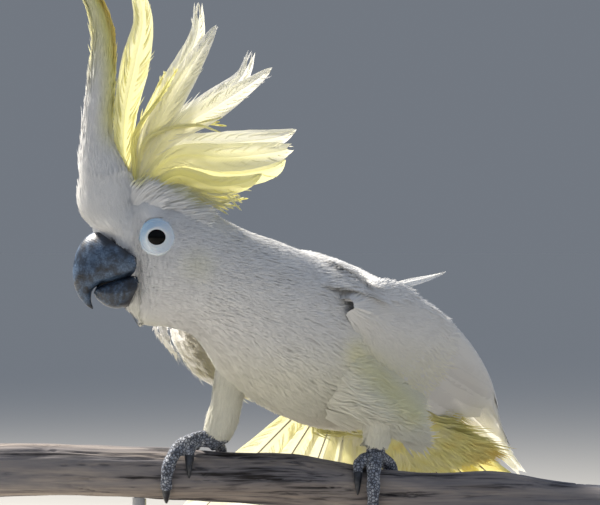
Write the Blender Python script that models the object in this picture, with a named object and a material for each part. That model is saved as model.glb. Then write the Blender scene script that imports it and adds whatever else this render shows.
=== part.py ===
"""White sulphur-crested cockatoo, life size, still, gripping a cut length of branch on a plain display stand.

World frame: metres, +Z up, +X along the perch, +Y towards the tail. The origin is the centre of the
base's underside. Places below are written in millimetres from the perch point, which is the middle of
the branch between the feet, and world() turns them into metres in the world frame.
"""

import math

import bmesh
import bpy
import numpy as np
from mathutils import Vector

# ---- driving dimensions, millimetres -----------------------------------------------------------
MM = 0.001
PERCH_HEIGHT = 150.0  # of the perch point above the floor
PERCH_FORWARD = 45.0  # of the perch point in front of the base's centre
PERCH_LENGTH = 372.0
BASE_SIZE = (250.0, 190.0, 14.0)
ROD_RADIUS = 4.0
ROD_PLACES = (-92.0, 96.0)
GAP = 0.35  # between neighbouring solids

EYE_RADIUS = 6.6
EYE_CENTRE = (-79.8, -74.4, 133.4)
HEAD_MIDPLANE_Y = -52.0

TAIL_ROOT = (36.0, 100.0, 56.0)
TAIL_LENGTH = 204.0
TAIL_HEADING = 8.0
TAIL_DROP = 42.0
TAIL_HALF_FAN = 39.5
TAIL_FEATHERS = 12

# ---- colours: sRGB for the viewport, roughness, metallic ----------------------------------------
FINISHES = {
    "white_plumage": ((0.93, 0.93, 0.91), 0.85, 0.0),
    "yellow_plumage": ((0.93, 0.88, 0.42), 0.8, 0.0),
    "bill_horn": ((0.13, 0.15, 0.19), 0.5, 0.0),
    "eye": ((0.02, 0.015, 0.012), 0.08, 0.0),
    "foot_scale": ((0.38, 0.40, 0.44), 0.75, 0.0),
    "claw_horn": ((0.10, 0.11, 0.13), 0.4, 0.0),
    "weathered_branch": ((0.45, 0.38, 0.32), 0.9, 0.0),
    "stand_wood": ((0.16, 0.11, 0.08), 0.5, 0.0),
    "stand_steel": ((0.55, 0.56, 0.58), 0.35, 1.0),
}

# ---- stations -----------------------------------------------------------------------------------
# Body spine from rump to face: centre x, y, z, then half width, upper radius, lower radius.
BODY_STATIONS = [
    (42.0, 143.0, 17.0, 26.0, 3.0, 3.0),
    (41.2, 135.0, 24.5, 31.5, 8.0, 7.5),
    (39.4, 122.0, 36.0, 35.5, 20.0, 18.0),
    (36.0, 104.0, 50.0, 39.5, 33.0, 35.0),
    (27.0, 78.0, 63.0, 44.0, 40.0, 45.0),
    (14.0, 43.0, 73.0, 47.5, 45.0, 49.0),
    (0.0, 7.0, 81.0, 50.0, 47.0, 49.0),
    (-13.0, -15.0, 88.5, 47.0, 41.0, 46.0),
    (-27.0, -31.5, 98.5, 40.0, 36.0, 41.0),
    (-46.0, -44.0, 109.0, 34.0, 32.5, 34.0),
    (-66.0, -50.0, 117.0, 30.5, 35.0, 35.0),
    (-78.5, -51.6, 119.6, 28.9, 36.7, 36.2),
    (-88.0, -52.0, 120.6, 23.0, 36.4, 35.8),
    (-95.0, -52.0, 120.6, 12.4, 33.0, 34.0),
    (-102.5, -52.0, 119.5, 5.5, 24.0, 25.5),
]
TRUNK_TO_NECK = 7.6  # station numbers where the thin cuts are
NECK_TO_HEAD = 9.4

# Upper bill: outer ridge x, z, then inner edge x, z, then half width.
UPPER_BILL = [
    (-114.0, 137.5, -91.0, 121.0, 12.4),
    (-120.5, 133.0, -92.0, 116.5, 13.2),
    (-125.0, 126.0, -96.0, 112.5, 12.8),
    (-127.2, 117.0, -103.5, 109.8, 11.2),
    (-127.0, 108.5, -110.0, 108.3, 8.8),
    (-124.6, 101.5, -115.6, 104.6, 5.4),
    (-120.6, 96.2, -117.0, 99.0, 2.5),
    (-116.4, 93.2, -115.8, 93.9, 0.5),
]
# Lower bill: outer ridge x, z, then inner edge x, z, then half width.
LOWER_BILL = [
    (-98.5, 95.4, -91.0, 112.0, 11.4),
    (-104.0, 94.0, -96.5, 109.2, 11.2),
    (-109.0, 95.4, -103.5, 107.0, 10.0),
    (-113.0, 98.4, -109.5, 105.6, 8.0),
    (-115.4, 101.6, -113.6, 104.6, 5.6),
]

# The tall front of the crest: centre x, z, then half width fore and aft, half width across.
CREST_FRONT = [
    (-99.5, 134.0, 10.0, 9.0),
    (-104.5, 141.0, 14.5, 12.0),
    (-108.0, 150.0, 16.3, 12.5),
    (-108.6, 162.0, 16.2, 11.5),
    (-111.0, 174.0, 13.4, 9.2),
    (-113.6, 187.0, 9.3, 6.6),
    (-113.2, 200.0, 8.1, 5.2),
    (-110.9, 225.0, 7.0, 3.3),
    (-110.2, 246.0, 5.8, 2.2),
    (-112.8, 259.0, 5.0, 1.8),
    (-117.0, 268.0, 4.5, 1.5),
    (-123.0, 277.0, 3.6, 1.1),
    (-130.0, 285.0, 1.2, 0.6),
]
# The feathers behind it, front to back: root x, z, tip x, z, bow to the front, half width, side offset.
CREST_FEATHERS = [
    (-99.0, 164.0, -94.0, 281.0, -4.0, 8.5, 0.0),
    (-98.0, 163.0, -86.0, 252.0, -3.0, 7.0, 1.9),
    (-97.0, 163.0, -53.0, 258.0, 0.0, 8.5, -1.9),
    (-96.0, 162.0, -47.0, 249.0, -1.0, 6.5, 3.8),
    (-94.0, 162.0, -28.0, 237.0, 1.0, 8.5, -3.8),
    (-93.0, 161.0, -17.0, 227.0, -1.0, 7.0, 5.7),
    (-91.0, 160.0, -3.0, 194.0, 3.0, 7.5, -5.7),
    (-89.0, 159.0, -5.0, 182.0, 1.0, 8.0, 7.6),
    (-87.0, 158.0, -12.0, 175.0, -1.0, 7.5, -7.6),
    (-84.0, 157.0, -30.0, 162.0, 3.0, 6.0, 9.5),
]
CREST_THICKNESS = 1.1

# Branch: x along it, centre y, centre z, radius.
BRANCH_STATIONS = [
    (-186.0, 1.0, 0.6, 15.4),
    (-150.0, 0.0, 0.8, 15.2),
    (-110.0, -1.0, -0.4, 14.8),
    (-76.0, 0.0, -2.0, 15.4),
    (-44.0, 1.0, -3.8, 15.0),
    (-4.0, 0.5, -5.2, 15.6),
    (18.0, 0.0, -9.0, 15.3),
    (40.0, 0.0, -13.4, 15.0),
    (78.0, 0.0, -16.6, 15.2),
    (112.0, 1.0, -16.8, 16.2),
    (146.0, 0.0, -20.8, 15.3),
    (186.0, -1.0, -24.0, 15.2),
]

# Legs: feathered shank centre x, y, z and radius, from inside the trunk to the ankle.
LEG_STATIONS = {
    "right": [
        (-31.0, 2.0, 80.0, 17.0),
        (-35.0, -2.0, 64.0, 13.5),
        (-40.0, -3.0, 49.0, 9.6),
        (-42.5, -1.0, 37.0, 8.8),
        (-45.0, 1.0, 27.5, 9.2),
        (-48.5, 1.5, 18.5, 7.4),
    ],
    "left": [
        (30.0, -2.0, 70.0, 19.0),
        (37.0, -6.0, 55.0, 15.5),
        (42.0, -8.0, 42.0, 12.2),
        (44.5, -7.0, 31.0, 9.6),
        (44.5, -4.0, 22.0, 8.4),
        (43.2, -2.0, 13.5, 7.2),
    ],
}
# Toes: side splay at the tip, wrap angle round the branch (+ in front, - behind), base radius.
TOES = {
    "right": {
        "outer_front": (-23.0, 112.0, 4.5),
        "inner_front": (-10.0, 50.0, 4.0),
        "outer_back": (-13.0, -104.0, 4.3),
        "inner_back": (8.0, -60.0, 3.9),
    },
    "left": {
        "outer_front": (-2.0, 112.0, 4.6),
        "inner_front": (-10.5, 50.0, 4.0),
        "outer_back": (12.0, -104.0, 4.3),
        "inner_back": (-6.0, -60.0, 3.9),
    },
}
FOOT_PLACES = {"right": -53.0, "left": 43.5}
CLAW_LENGTH = 14.0
CLAW_RADIUS = 2.5


# ---- small tools --------------------------------------------------------------------------------
def world(point):
    """Millimetres from the perch point to metres in the world frame."""
    x, y, z = point
    return Vector((x * MM, (y - PERCH_FORWARD) * MM, (z + PERCH_HEIGHT) * MM))


def unit(vector):
    """The vector at length one."""
    return np.asarray(vector, float) / np.linalg.norm(vector)


def direction(heading, drop):
    """A unit vector that runs backwards at this heading from +Y towards +X, and down by drop degrees."""
    h, d = math.radians(heading), math.radians(drop)
    return np.array([math.sin(h) * math.cos(d), math.cos(h) * math.cos(d), -math.sin(d)])


def along(stations, place):
    """All columns of a station table at a station number, on a Catmull-Rom curve."""
    table = np.asarray(stations, float)
    last = len(table) - 1
    i = int(np.clip(math.floor(place), 0, last - 1))
    t = place - i
    a, b = table[i], table[i + 1]
    before = table[i - 1] if i > 0 else 2 * a - b
    after = table[i + 2] if i + 2 <= last else 2 * b - a
    m0, m1 = (b - before) / 2, (after - a) / 2
    return (
        (2 * t**3 - 3 * t**2 + 1) * a
        + (t**3 - 2 * t**2 + t) * m0
        + (-2 * t**3 + 3 * t**2) * b
        + (t**3 - t**2) * m1
    )


def tangent_at(stations, place):
    """The curve's unit direction at a station number."""
    last = len(stations) - 1
    low, high = max(0.0, place - 0.05), min(float(last), place + 0.05)
    return unit(along(stations, high)[:3] - along(stations, low)[:3])


def frame_of(tangent, up=(0.0, 0.0, 1.0)):
    """(side, up) that are square to the tangent, side to the left of someone who looks along it."""
    side = unit(np.cross(up, tangent))
    return side, np.cross(tangent, side)


def make_material(name):
    """A Principled material from the table of finishes."""
    colour, roughness, metallic = FINISHES[name]
    found = bpy.data.materials.get(name)
    if found:
        return found
    made = bpy.data.materials.new(name)
    made.use_nodes = True
    shader = made.node_tree.nodes["Principled BSDF"]
    shader.inputs["Base Color"].default_value = (*colour, 1.0)
    shader.inputs["Roughness"].default_value = roughness
    shader.inputs["Metallic"].default_value = metallic
    return made


def add_solid(name, points, faces, finish, helper=False):
    """An object from points in millimetres. A helper cuts others and isn't part of the model."""
    mesh = bpy.data.meshes.new(name)
    mesh.from_pydata([world(p) for p in points], [], faces)
    clean = bmesh.new()
    clean.from_mesh(mesh)
    # One fixed diagonal keeps a solid and the helper grown from it parallel.
    bmesh.ops.triangulate(clean, faces=clean.faces, quad_method="FIXED")
    bmesh.ops.recalc_face_normals(clean, faces=clean.faces)
    clean.to_mesh(mesh)
    clean.free()
    mesh.shade_smooth()
    mesh.set_sharp_from_angle(angle=math.radians(50))
    mesh.materials.append(make_material(finish))
    made = bpy.data.objects.new(name, mesh)
    bpy.context.scene.collection.objects.link(made)
    if helper:
        made.hide_render = True
        made.display_type = "WIRE"
    return made


def boolean(target, other, operation="DIFFERENCE"):
    """Adds an exact Boolean of other to target."""
    cut = target.modifiers.new(f"{operation.lower()}_{other.name}", "BOOLEAN")
    cut.operation = operation
    cut.object = other
    cut.solver = "EXACT"
    return target


def tube(rings):
    """Points and faces of a closed tube through rings that hold the same number of points."""
    count = len(rings[0])
    points = [tuple(p) for ring in rings for p in ring]
    faces = []
    for i in range(len(rings) - 1):
        for j in range(count):
            k = (j + 1) % count
            faces.append((i * count + j, i * count + k, (i + 1) * count + k, (i + 1) * count + j))
    for base, ring, flip in ((0, rings[0], True), ((len(rings) - 1) * count, rings[-1], False)):
        middle = len(points)
        points.append(tuple(np.mean(ring, axis=0)))
        for j in range(count):
            k = (j + 1) % count
            faces.append((base + k, base + j, middle) if flip else (base + j, base + k, middle))
    return points, faces


def slab(outer, inner):
    """Points and faces of a closed plate between two grids of points of one size."""
    rows, columns = len(outer), len(outer[0])
    points = [tuple(p) for grid in (outer, inner) for row in grid for p in row]
    half = rows * columns

    def at(side, i, j):
        return side * half + i * columns + j

    faces = []
    for i in range(rows - 1):
        for j in range(columns - 1):
            faces.append((at(0, i, j), at(0, i, j + 1), at(0, i + 1, j + 1), at(0, i + 1, j)))
            faces.append((at(1, i, j), at(1, i + 1, j), at(1, i + 1, j + 1), at(1, i, j + 1)))
    for i in range(rows - 1):
        for j, flip in ((0, False), (columns - 1, True)):
            face = (at(0, i, j), at(0, i + 1, j), at(1, i + 1, j), at(1, i, j))
            faces.append(face[::-1] if flip else face)
    for j in range(columns - 1):
        for i, flip in ((0, True), (rows - 1, False)):
            face = (at(0, i, j), at(0, i, j + 1), at(1, i, j + 1), at(1, i, j))
            faces.append(face if not flip else face[::-1])
    return points, faces


# ---- head, neck and trunk -----------------------------------------------------------------------
def body_ring(place, grow, sides):
    """One cross-section of the body, an egg with different upper and lower radii."""
    x, y, z, width, upper, lower = along(BODY_STATIONS, place)
    side, up = frame_of(tangent_at(BODY_STATIONS, place))
    ring = []
    for j in range(sides):
        angle = 2 * math.pi * j / sides
        height = upper if math.sin(angle) > 0 else lower
        ring.append(
            np.array([x, y, z])
            + side * (width + grow) * math.cos(angle)
            + up * (height + grow) * math.sin(angle)
        )
    return ring


def body_solid(name, places, grow=0.0, helper=False, sides=22):
    """The stretch of the body through rings at these station numbers."""
    points, faces = tube([body_ring(p, grow, sides) for p in places])
    return add_solid(name, points, faces, "white_plumage", helper)


def make_body():
    """Trunk, neck and head with thin cuts between them, and the helpers that cut their neighbours."""
    last = len(BODY_STATIONS) - 1
    slit = 0.025  # of a station, about half a millimetre
    trunk = np.linspace(0.0, TRUNK_TO_NECK, 14)
    neck = np.linspace(TRUNK_TO_NECK + slit, NECK_TO_HEAD, 5)
    head = np.linspace(NECK_TO_HEAD + slit, last, 12)
    parts = {
        "trunk": body_solid("trunk", trunk),
        "neck": body_solid("neck", neck),
        "head": body_solid("head", head),
    }
    helpers = {
        "trunk": body_solid("cutter_trunk", [-slit, *trunk, trunk[-1] + 0.3], GAP, True),
        "head": body_solid("cutter_head", [head[0] - 0.3, *head, last + slit], GAP, True),
    }
    return parts, helpers


# ---- bill and eyes ------------------------------------------------------------------------------
def bill_ring(row, grow, sides=12):
    """A bill section: a rounded ridge outside and a flatter inner edge."""
    ox, oz, ix, iz, half_width = row
    middle = np.array([(ox + ix) / 2, HEAD_MIDPLANE_Y, (oz + iz) / 2])
    reach = np.array([ox - ix, 0.0, oz - iz]) / 2
    length = np.linalg.norm(reach)
    outward = reach / length
    ring = []
    for j in range(sides):
        angle = 2 * math.pi * j / sides
        c, s = math.cos(angle), math.sin(angle)
        flat = abs(c) ** 0.7 * math.copysign(1.0, c)
        ring.append(
            middle
            + outward * (length + grow) * (c if c > 0 else flat)
            + np.array([0.0, 1.0, 0.0]) * (half_width + grow) * s * (1.0 - 0.22 * max(c, 0.0))
        )
    return ring


def bill_solid(name, stations, grow=0.0, helper=False):
    """One half of the bill, from its root in the face to its tip."""
    last = len(stations) - 1
    rows = [along(stations, p) for p in np.linspace(0.0, last, 2 * last + 1)]
    rows = [(*r[:4], max(r[4], 0.45)) for r in rows]
    points, faces = tube([bill_ring(r, grow) for r in rows])
    return add_solid(name, points, faces, "bill_horn", helper)


def ball(name, centre, radius, finish, helper=False):
    """A sphere made of rings."""
    x, y, z = centre
    rings = []
    for i in range(1, 7):
        lift = math.pi * (i / 7 - 0.5)
        r, h = radius * math.cos(lift), radius * math.sin(lift)
        turns = [2 * math.pi * j / 12 for j in range(12)]
        rings.append([np.array([x + r * math.cos(a), y + r * math.sin(a), z + h]) for a in turns])
    points, faces = tube(rings)
    points[-2], points[-1] = (x, y, z - radius), (x, y, z + radius)
    return add_solid(name, points, faces, finish, helper)


def make_face(head):
    """Both halves of the bill and both eyes, each in a socket cut in the head. Returns the upper bill's cutter."""
    bill_solid("bill_upper", UPPER_BILL)
    lower = bill_solid("bill_lower", LOWER_BILL)
    upper_cutter = bill_solid("cutter_bill_upper", UPPER_BILL, GAP, True)
    lower_cutter = bill_solid("cutter_bill_lower", LOWER_BILL, GAP, True)
    boolean(lower, upper_cutter)
    boolean(head, upper_cutter)
    boolean(head, lower_cutter)
    x, y, z = EYE_CENTRE
    mirrored = (x, 2 * HEAD_MIDPLANE_Y - y, z)
    for side, centre in (("left", EYE_CENTRE), ("right", mirrored)):
        ball(f"eye_{side}", centre, EYE_RADIUS, "eye")
        boolean(head, ball(f"cutter_eye_{side}", centre, EYE_RADIUS + GAP, "eye", True))
    return upper_cutter


# ---- crest --------------------------------------------------------------------------------------
def crest_front_solid(name, grow=0.0, helper=False):
    """The thick upright front of the crest, an oval column that thins to a curled tip."""
    rings = []
    for place in np.linspace(0.0, len(CREST_FRONT) - 1, 14):
        x, z, fore, across = along(CREST_FRONT, place)
        fore, across = max(fore, 1.0) + grow, max(across, 0.6) + grow
        turns = [2 * math.pi * j / 12 for j in range(12)]
        rings.append(
            [
                np.array([x + fore * math.cos(a), HEAD_MIDPLANE_Y + across * math.sin(a), z])
                for a in turns
            ]
        )
    points, faces = tube(rings)
    return add_solid(name, points, faces, "white_plumage", helper)


def blade_half_width(t, widest):
    """Half width of a crest feather from its root, t = 0, to its blunt tip, t = 1."""
    return widest * (0.42 + 0.58 * math.sin(math.pi * min(t * 1.25, 1.0) / 2)) * (1 - t**5) ** 0.5


def make_crest(head_cutter, bill_cutter):
    """The front of the crest, then long blades in the head's own plane, side by side."""
    front = crest_front_solid("crest_front")
    boolean(front, head_cutter)
    boolean(front, bill_cutter)
    front_cutter = crest_front_solid("cutter_crest_front", GAP, True)
    for number, row in enumerate(CREST_FEATHERS, 1):
        root_x, root_z, tip_x, tip_z, bow, widest, offset = row
        root, tip = np.array([root_x, root_z]), np.array([tip_x, tip_z])
        root = root - (tip - root) * 0.07
        run = tip - root
        normal = np.array([-run[1], run[0]]) / np.linalg.norm(run)
        outer, inner = [], []
        for t in np.linspace(0.0, 0.985, 7):
            middle = root + run * t + normal * bow * 4 * t * (1 - t)
            half = blade_half_width(t, widest)
            row_out, row_in = [], []
            for across in (-1.0, 0.0, 1.0):
                place = middle + normal * half * across
                thick = CREST_THICKNESS * (0.5 if across else 0.62)
                y = HEAD_MIDPLANE_Y - offset
                row_out.append((place[0], y - thick, place[1]))
                row_in.append((place[0], y + thick, place[1]))
            outer.append(row_out)
            inner.append(row_in)
        points, faces = slab(outer, inner)
        blade = add_solid(f"crest_{number:02d}", points, faces, "yellow_plumage")
        boolean(blade, head_cutter)
        boolean(blade, front_cutter)


# ---- wings --------------------------------------------------------------------------------------
# A folded wing in its own upright sections, in millimetres from a straight line that runs from the
# wrist to the tip. Each row: distance from the wrist, then (out, up) of the lower edge, of the
# farthest bulge, of the shoulder of the arch and of the inner top edge, then the wall's thickness.
WING_SECTIONS = [
    (-5.0, -8.0, -5.0, -3.0, 0.0, -6.0, 6.0, -14.0, 6.0, 2.5),
    (6.0, -7.0, -10.0, 1.5, -1.0, -2.0, 11.5, -20.0, 14.0, 5.0),
    (27.0, -4.0, -16.0, 6.0, 1.0, 1.5, 21.0, -26.0, 24.0, 8.0),
    (54.0, -4.0, -20.0, 10.5, 4.0, 5.5, 28.0, -29.0, 31.0, 9.0),
    (91.0, -6.0, -21.5, 13.5, 8.0, 8.5, 32.0, -33.0, 39.0, 8.0),
    (119.0, -9.0, -18.5, 13.0, 10.0, 7.5, 31.5, -35.0, 41.0, 7.0),
    (147.0, -12.5, -13.5, 11.0, 10.0, 5.0, 28.5, -32.0, 38.0, 5.5),
    (180.0, -13.0, -9.0, 7.5, 9.0, 2.0, 25.5, -29.0, 33.0, 4.0),
    (208.0, -12.5, -5.0, 2.5, 7.0, -2.5, 18.5, -25.0, 24.0, 3.2),
    (235.0, -12.5, -2.0, -3.0, 5.0, -7.5, 12.0, -21.0, 16.0, 2.6),
    (262.0, -13.0, 0.0, -7.5, 3.5, -11.0, 6.5, -18.0, 9.5, 2.2),
    (286.0, -13.0, -1.0, -9.0, 2.0, -10.5, 4.5, -16.0, 6.0, 1.8),
    (305.0, -12.0, -3.5, -9.5, -1.0, -10.0, 0.5, -13.0, 1.5, 1.4),
]
WINGS = {
    # wrist place, heading, drop over length, outward sign, further reach of the inner top edge
    "left": ((36.0, -44.0, 93.0), 22.2, 0.345, 1.0, 0.0),
    "right": ((-85.0, 10.0, 80.8), 28.0, 0.22, -1.0, 22.0),
}


def wing_grids(side, stations=15, across=9):
    """Outer and inner grid of points of a folded wing, an arch that wraps round the flank."""
    wrist, heading, slope, sign, reach = WINGS[side]
    turn = math.radians(heading)
    back = np.array([math.sin(turn), math.cos(turn), 0.0])
    out = np.array([math.cos(turn), -math.sin(turn), 0.0]) * sign
    outer = np.zeros((stations, across, 3))
    walls = np.zeros((stations, across))
    for i, place in enumerate(np.linspace(0.0, len(WING_SECTIONS) - 1, stations)):
        distance, *numbers, wall = along(WING_SECTIONS, place)
        corners = np.array(numbers).reshape(4, 2)
        fade = math.sin(math.pi * min(max(distance, 0.0) / 305.0, 1.0)) ** 0.5
        corners[3] += (-reach * fade, 0.2 * reach * fade)
        for j, step in enumerate(np.linspace(0.0, 3.0, across)):
            o, up = along(corners, step)
            outer[i, j] = np.array(wrist) + back * distance + out * o
            outer[i, j, 2] += up - slope * distance
            walls[i, j] = 0.9 + (wall - 0.9) * math.sin(math.pi * j / (across - 1)) ** 0.5
    lengthwise, crosswise = np.gradient(outer, axis=0), np.gradient(outer, axis=1)
    facing = np.cross(crosswise, lengthwise) * sign
    facing /= np.linalg.norm(facing, axis=2, keepdims=True)
    return outer, outer - facing * walls[:, :, None]


def make_wings(cutters):
    """Both folded wings, cut back from whatever they lie on."""
    for side in WINGS:
        points, faces = slab(*wing_grids(side))
        wing = add_solid(f"wing_{side}", points, faces, "white_plumage")
        for cutter in cutters:
            boolean(wing, cutter)


# ---- tail ---------------------------------------------------------------------------------------
def tail_solid(name, grow=0.0, helper=False):
    """The spread tail as one fan whose hem is scalloped by the ends of its feathers."""
    axis = direction(TAIL_HEADING, TAIL_DROP)
    heading = math.radians(TAIL_HEADING)
    left = np.array([math.cos(heading), -math.sin(heading), 0.0])
    normal = np.cross(left, axis)
    normal = normal * math.copysign(1.0, normal[2])
    half_fan = TAIL_HALF_FAN + math.degrees(grow / 120.0)
    upper, lower = [], []
    for r in (0.02, 0.22, 0.48, 0.74, 1.0):
        row_up, row_low = [], []
        for u in np.linspace(0.0, 1.0, TAIL_FEATHERS * 3 + 1):
            angle = math.radians(half_fan * (2 * u - 1))
            lobe = abs(math.sin(math.pi * u * TAIL_FEATHERS))
            reach = TAIL_LENGTH * r * (1 - 0.05 * (2 * u - 1) ** 2)
            if r == 1.0:
                reach *= 0.965 + 0.035 * lobe
            root = left * (12.0 + grow) * (2 * u - 1)
            point = np.array(TAIL_ROOT) + root + (axis * math.cos(angle) + left * math.sin(angle)) * reach
            point = point - normal * 7.0 * r * (2 * u - 1) ** 2
            thick = (3.0 - 2.2 * r) / 2 + grow
            row_up.append(point + normal * thick)
            row_low.append(point - normal * thick)
        upper.append(row_up)
        lower.append(row_low)
    points, faces = slab(upper, lower)
    return add_solid(name, points, faces, "yellow_plumage", helper)


# ---- branch -------------------------------------------------------------------------------------
def branch_place(x):
    """Station number of the branch at x."""
    xs = [row[0] for row in BRANCH_STATIONS]
    return float(np.interp(x, xs, range(len(xs))))


def branch_at(x):
    """Centre y, centre z and radius of the branch at x."""
    return along(BRANCH_STATIONS, branch_place(x))[1:]


def branch_solid(name, grow=0.0, helper=False, rings=21, sides=12):
    """The cut length of branch: an uneven round with shallow flutes."""
    made = []
    for x in np.linspace(-PERCH_LENGTH / 2 - grow, PERCH_LENGTH / 2 + grow, rings):
        y, z, radius = branch_at(x)
        ring = []
        for j in range(sides):
            angle = 2 * math.pi * j / sides
            uneven = 1 + 0.025 * math.sin(3 * angle + x / 31) + 0.02 * math.sin(2 * angle - x / 47)
            r = radius * uneven + grow
            ring.append(np.array([x, y + r * math.cos(angle), z + r * math.sin(angle)]))
        made.append(ring)
    points, faces = tube(made)
    return add_solid(name, points, faces, "weathered_branch", helper)


# ---- legs, feet and claws -----------------------------------------------------------------------
def round_tube(path, radii, sides):
    """Rings of a round tube along a path."""
    rings = []
    path = [np.asarray(p, float) for p in path]
    hint = None
    for i, (p, r) in enumerate(zip(path, radii)):
        ahead, behind = path[min(i + 1, len(path) - 1)], path[max(i - 1, 0)]
        tangent = unit(ahead - behind)
        if hint is None:
            hint = unit(np.cross(tangent, (1.0, 0.2, 0.1)))
        side = unit(hint - tangent * np.dot(hint, tangent))
        up = np.cross(tangent, side)
        hint = side
        turns = [2 * math.pi * j / sides for j in range(sides)]
        rings.append([p + side * r * math.cos(a) + up * r * math.sin(a) for a in turns])
    return rings


def leg_solid(name, side, grow=0.0, helper=False):
    """The feathered shank of one leg."""
    stations = LEG_STATIONS[side]
    rows = [along(stations, p) for p in np.linspace(0, len(stations) - 1, 8)]
    if grow:
        end = rows[-1].copy()
        end[:3] += tangent_at(stations, len(stations) - 1) * grow
        rows.append(end)
    rings = round_tube([r[:3] for r in rows], [r[3] + grow for r in rows], 12)
    points, faces = tube(rings)
    return add_solid(name, points, faces, "white_plumage", helper)


def toe_path(side, toe):
    """Centreline and radii of one toe, over the branch and down its side. Each starts at a depth of its own."""
    splay, wrap, radius = TOES[side][toe]
    start = -0.05 - 0.03 * list(TOES[side]).index(toe)
    foot_x = FOOT_PLACES[side]
    rows = []
    for t in np.linspace(start, 1.0, 7):
        x = foot_x + splay * (1 - (1 - t) ** 2.6)
        y, z, branch = branch_at(x)
        angle = math.radians(wrap * t)
        r = radius * (1.0 - 0.30 * t)
        knuckle = 1.0 + 0.07 * math.cos(t * 6 * math.pi)
        lift = branch + r * 1.02 + 2.0 * math.exp(-((t / 0.25) ** 2)) + 1.4 * math.sin(math.pi * max(t, 0.0))
        rows.append((x, y - lift * math.sin(angle), z + lift * math.cos(angle), r * knuckle))
    return rows


def claw_path(rows):
    """Centreline and radii of the claw that goes on from the end of a toe and hooks inwards."""
    end, before = np.array(rows[-1][:3]), np.array(rows[-2][:3])
    ahead = unit(end - before)
    y, z, _ = branch_at(end[0])
    inward = np.array([0.0, y - end[1], z - end[2]])
    inward = unit(inward - ahead * np.dot(inward, ahead))
    bend = math.radians(62)
    made = []
    for t in np.linspace(0.0, 1.0, 5):
        arc = bend * t
        swing = CLAW_LENGTH / bend
        place = end + ahead * (GAP + 0.1 + swing * math.sin(arc)) + inward * swing * (1 - math.cos(arc)) * 0.6
        made.append((*place, CLAW_RADIUS * (1 - t) ** 0.75 + 0.25))
    return made


def make_foot(side, perch_cutter, leg_cutter):
    """Tarsus and four toes joined in one solid, with four separate claws."""
    finish = "foot_scale"
    foot_x = FOOT_PLACES[side]
    y, z, radius = branch_at(foot_x)
    sole = (foot_x, y + 1.0, z + radius + 4.6)
    ankle = np.array(LEG_STATIONS[side][-1][:3])
    above = ankle + unit(ankle - np.array(sole)) * 4.0
    path = [above + (np.array(sole) - above) * t for t in np.linspace(0.0, 1.0, 5)]
    points, faces = tube(round_tube(path, [5.2, 5.0, 5.2, 5.8, 5.6], 10))
    foot = add_solid(f"foot_{side}", points, faces, finish)
    claws = []
    for toe in TOES[side]:
        rows = toe_path(side, toe)
        points, faces = tube(round_tube([r[:3] for r in rows], [r[3] for r in rows], 8))
        boolean(foot, add_solid(f"toe_{side}_{toe}", points, faces, finish, True), "UNION")
        hook = claw_path(rows)
        points, faces = tube(round_tube([r[:3] for r in hook], [r[3] for r in hook], 6))
        claws.append(add_solid(f"claw_{side}_{toe}", points, faces, "claw_horn"))
    boolean(foot, leg_cutter)
    boolean(foot, perch_cutter)
    for claw in claws:
        boolean(claw, perch_cutter)


# ---- stand --------------------------------------------------------------------------------------
def make_stand(perch_cutter):
    """A flat bevelled base and two rods up to the branch."""
    length, width, height = (v * MM for v in BASE_SIZE)
    plate = bmesh.new()
    bmesh.ops.create_cube(plate, size=1.0)
    bmesh.ops.scale(plate, vec=(length, width, height), verts=plate.verts)
    bmesh.ops.translate(plate, vec=(0, 0, height / 2), verts=plate.verts)
    upright = [e for e in plate.edges if abs(e.verts[0].co.z - e.verts[1].co.z) > height / 2]
    bmesh.ops.bevel(plate, geom=upright, offset=0.012, segments=4, affect="EDGES", profile=0.5)
    rim = [e for e in plate.edges if all(v.co.z > height * 0.99 for v in e.verts)]
    bmesh.ops.bevel(plate, geom=rim, offset=0.002, segments=2, affect="EDGES", profile=0.5)
    mesh = bpy.data.meshes.new("stand_base")
    plate.to_mesh(mesh)
    plate.free()
    mesh.shade_smooth()
    mesh.set_sharp_from_angle(angle=math.radians(35))
    mesh.materials.append(make_material("stand_wood"))
    base = bpy.data.objects.new("stand_base", mesh)
    bpy.context.scene.collection.objects.link(base)
    for number, x in enumerate(ROD_PLACES, 1):
        y, z, radius = branch_at(x)
        floor = BASE_SIZE[2] + GAP - PERCH_HEIGHT
        path = [(x, y, h) for h in (floor, floor + 3.0, z - radius * 0.5)]
        points, faces = tube(round_tube(path, [ROD_RADIUS] * 3, 16))
        boolean(add_solid(f"stand_rod_{number}", points, faces, "stand_steel"), perch_cutter)


def main():
    """Builds the whole model."""
    for old in list(bpy.data.objects):
        bpy.data.objects.remove(old)
    parts, helpers = make_body()
    bill_cutter = make_face(parts["head"])
    make_crest(helpers["head"], bill_cutter)
    branch_solid("perch")
    perch_cutter = branch_solid("cutter_perch", GAP, True)
    leg_cutters = []
    for side in LEG_STATIONS:
        leg = leg_solid(f"leg_{side}", side)
        leg_cutter = leg_solid(f"cutter_leg_{side}", side, GAP, True)
        leg_cutters.append(leg_cutter)
        boolean(leg, helpers["trunk"])
        make_foot(side, perch_cutter, leg_cutter)
    boolean(tail_solid("tail"), helpers["trunk"])
    tail_cutter = tail_solid("cutter_tail", GAP, True)
    make_wings([helpers["trunk"], tail_cutter, *leg_cutters])
    make_stand(perch_cutter)


main()
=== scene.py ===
"""Looks of a white sulphur-crested cockatoo, life size, that grips a cut branch on a plain display stand.

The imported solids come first, as the frame. One skin then stands for the solids of flesh, feathers of thin
mesh lie over it, and every other piece gets its finish. Sizes are in millimetres from the perch point, which
is the middle of the branch between the feet, and to_world() turns them into the frame's metres.
"""

from __future__ import annotations

import logging
import math
from collections.abc import Callable, Sequence
from dataclasses import dataclass, field, replace
from enum import Enum
from functools import partial

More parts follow.
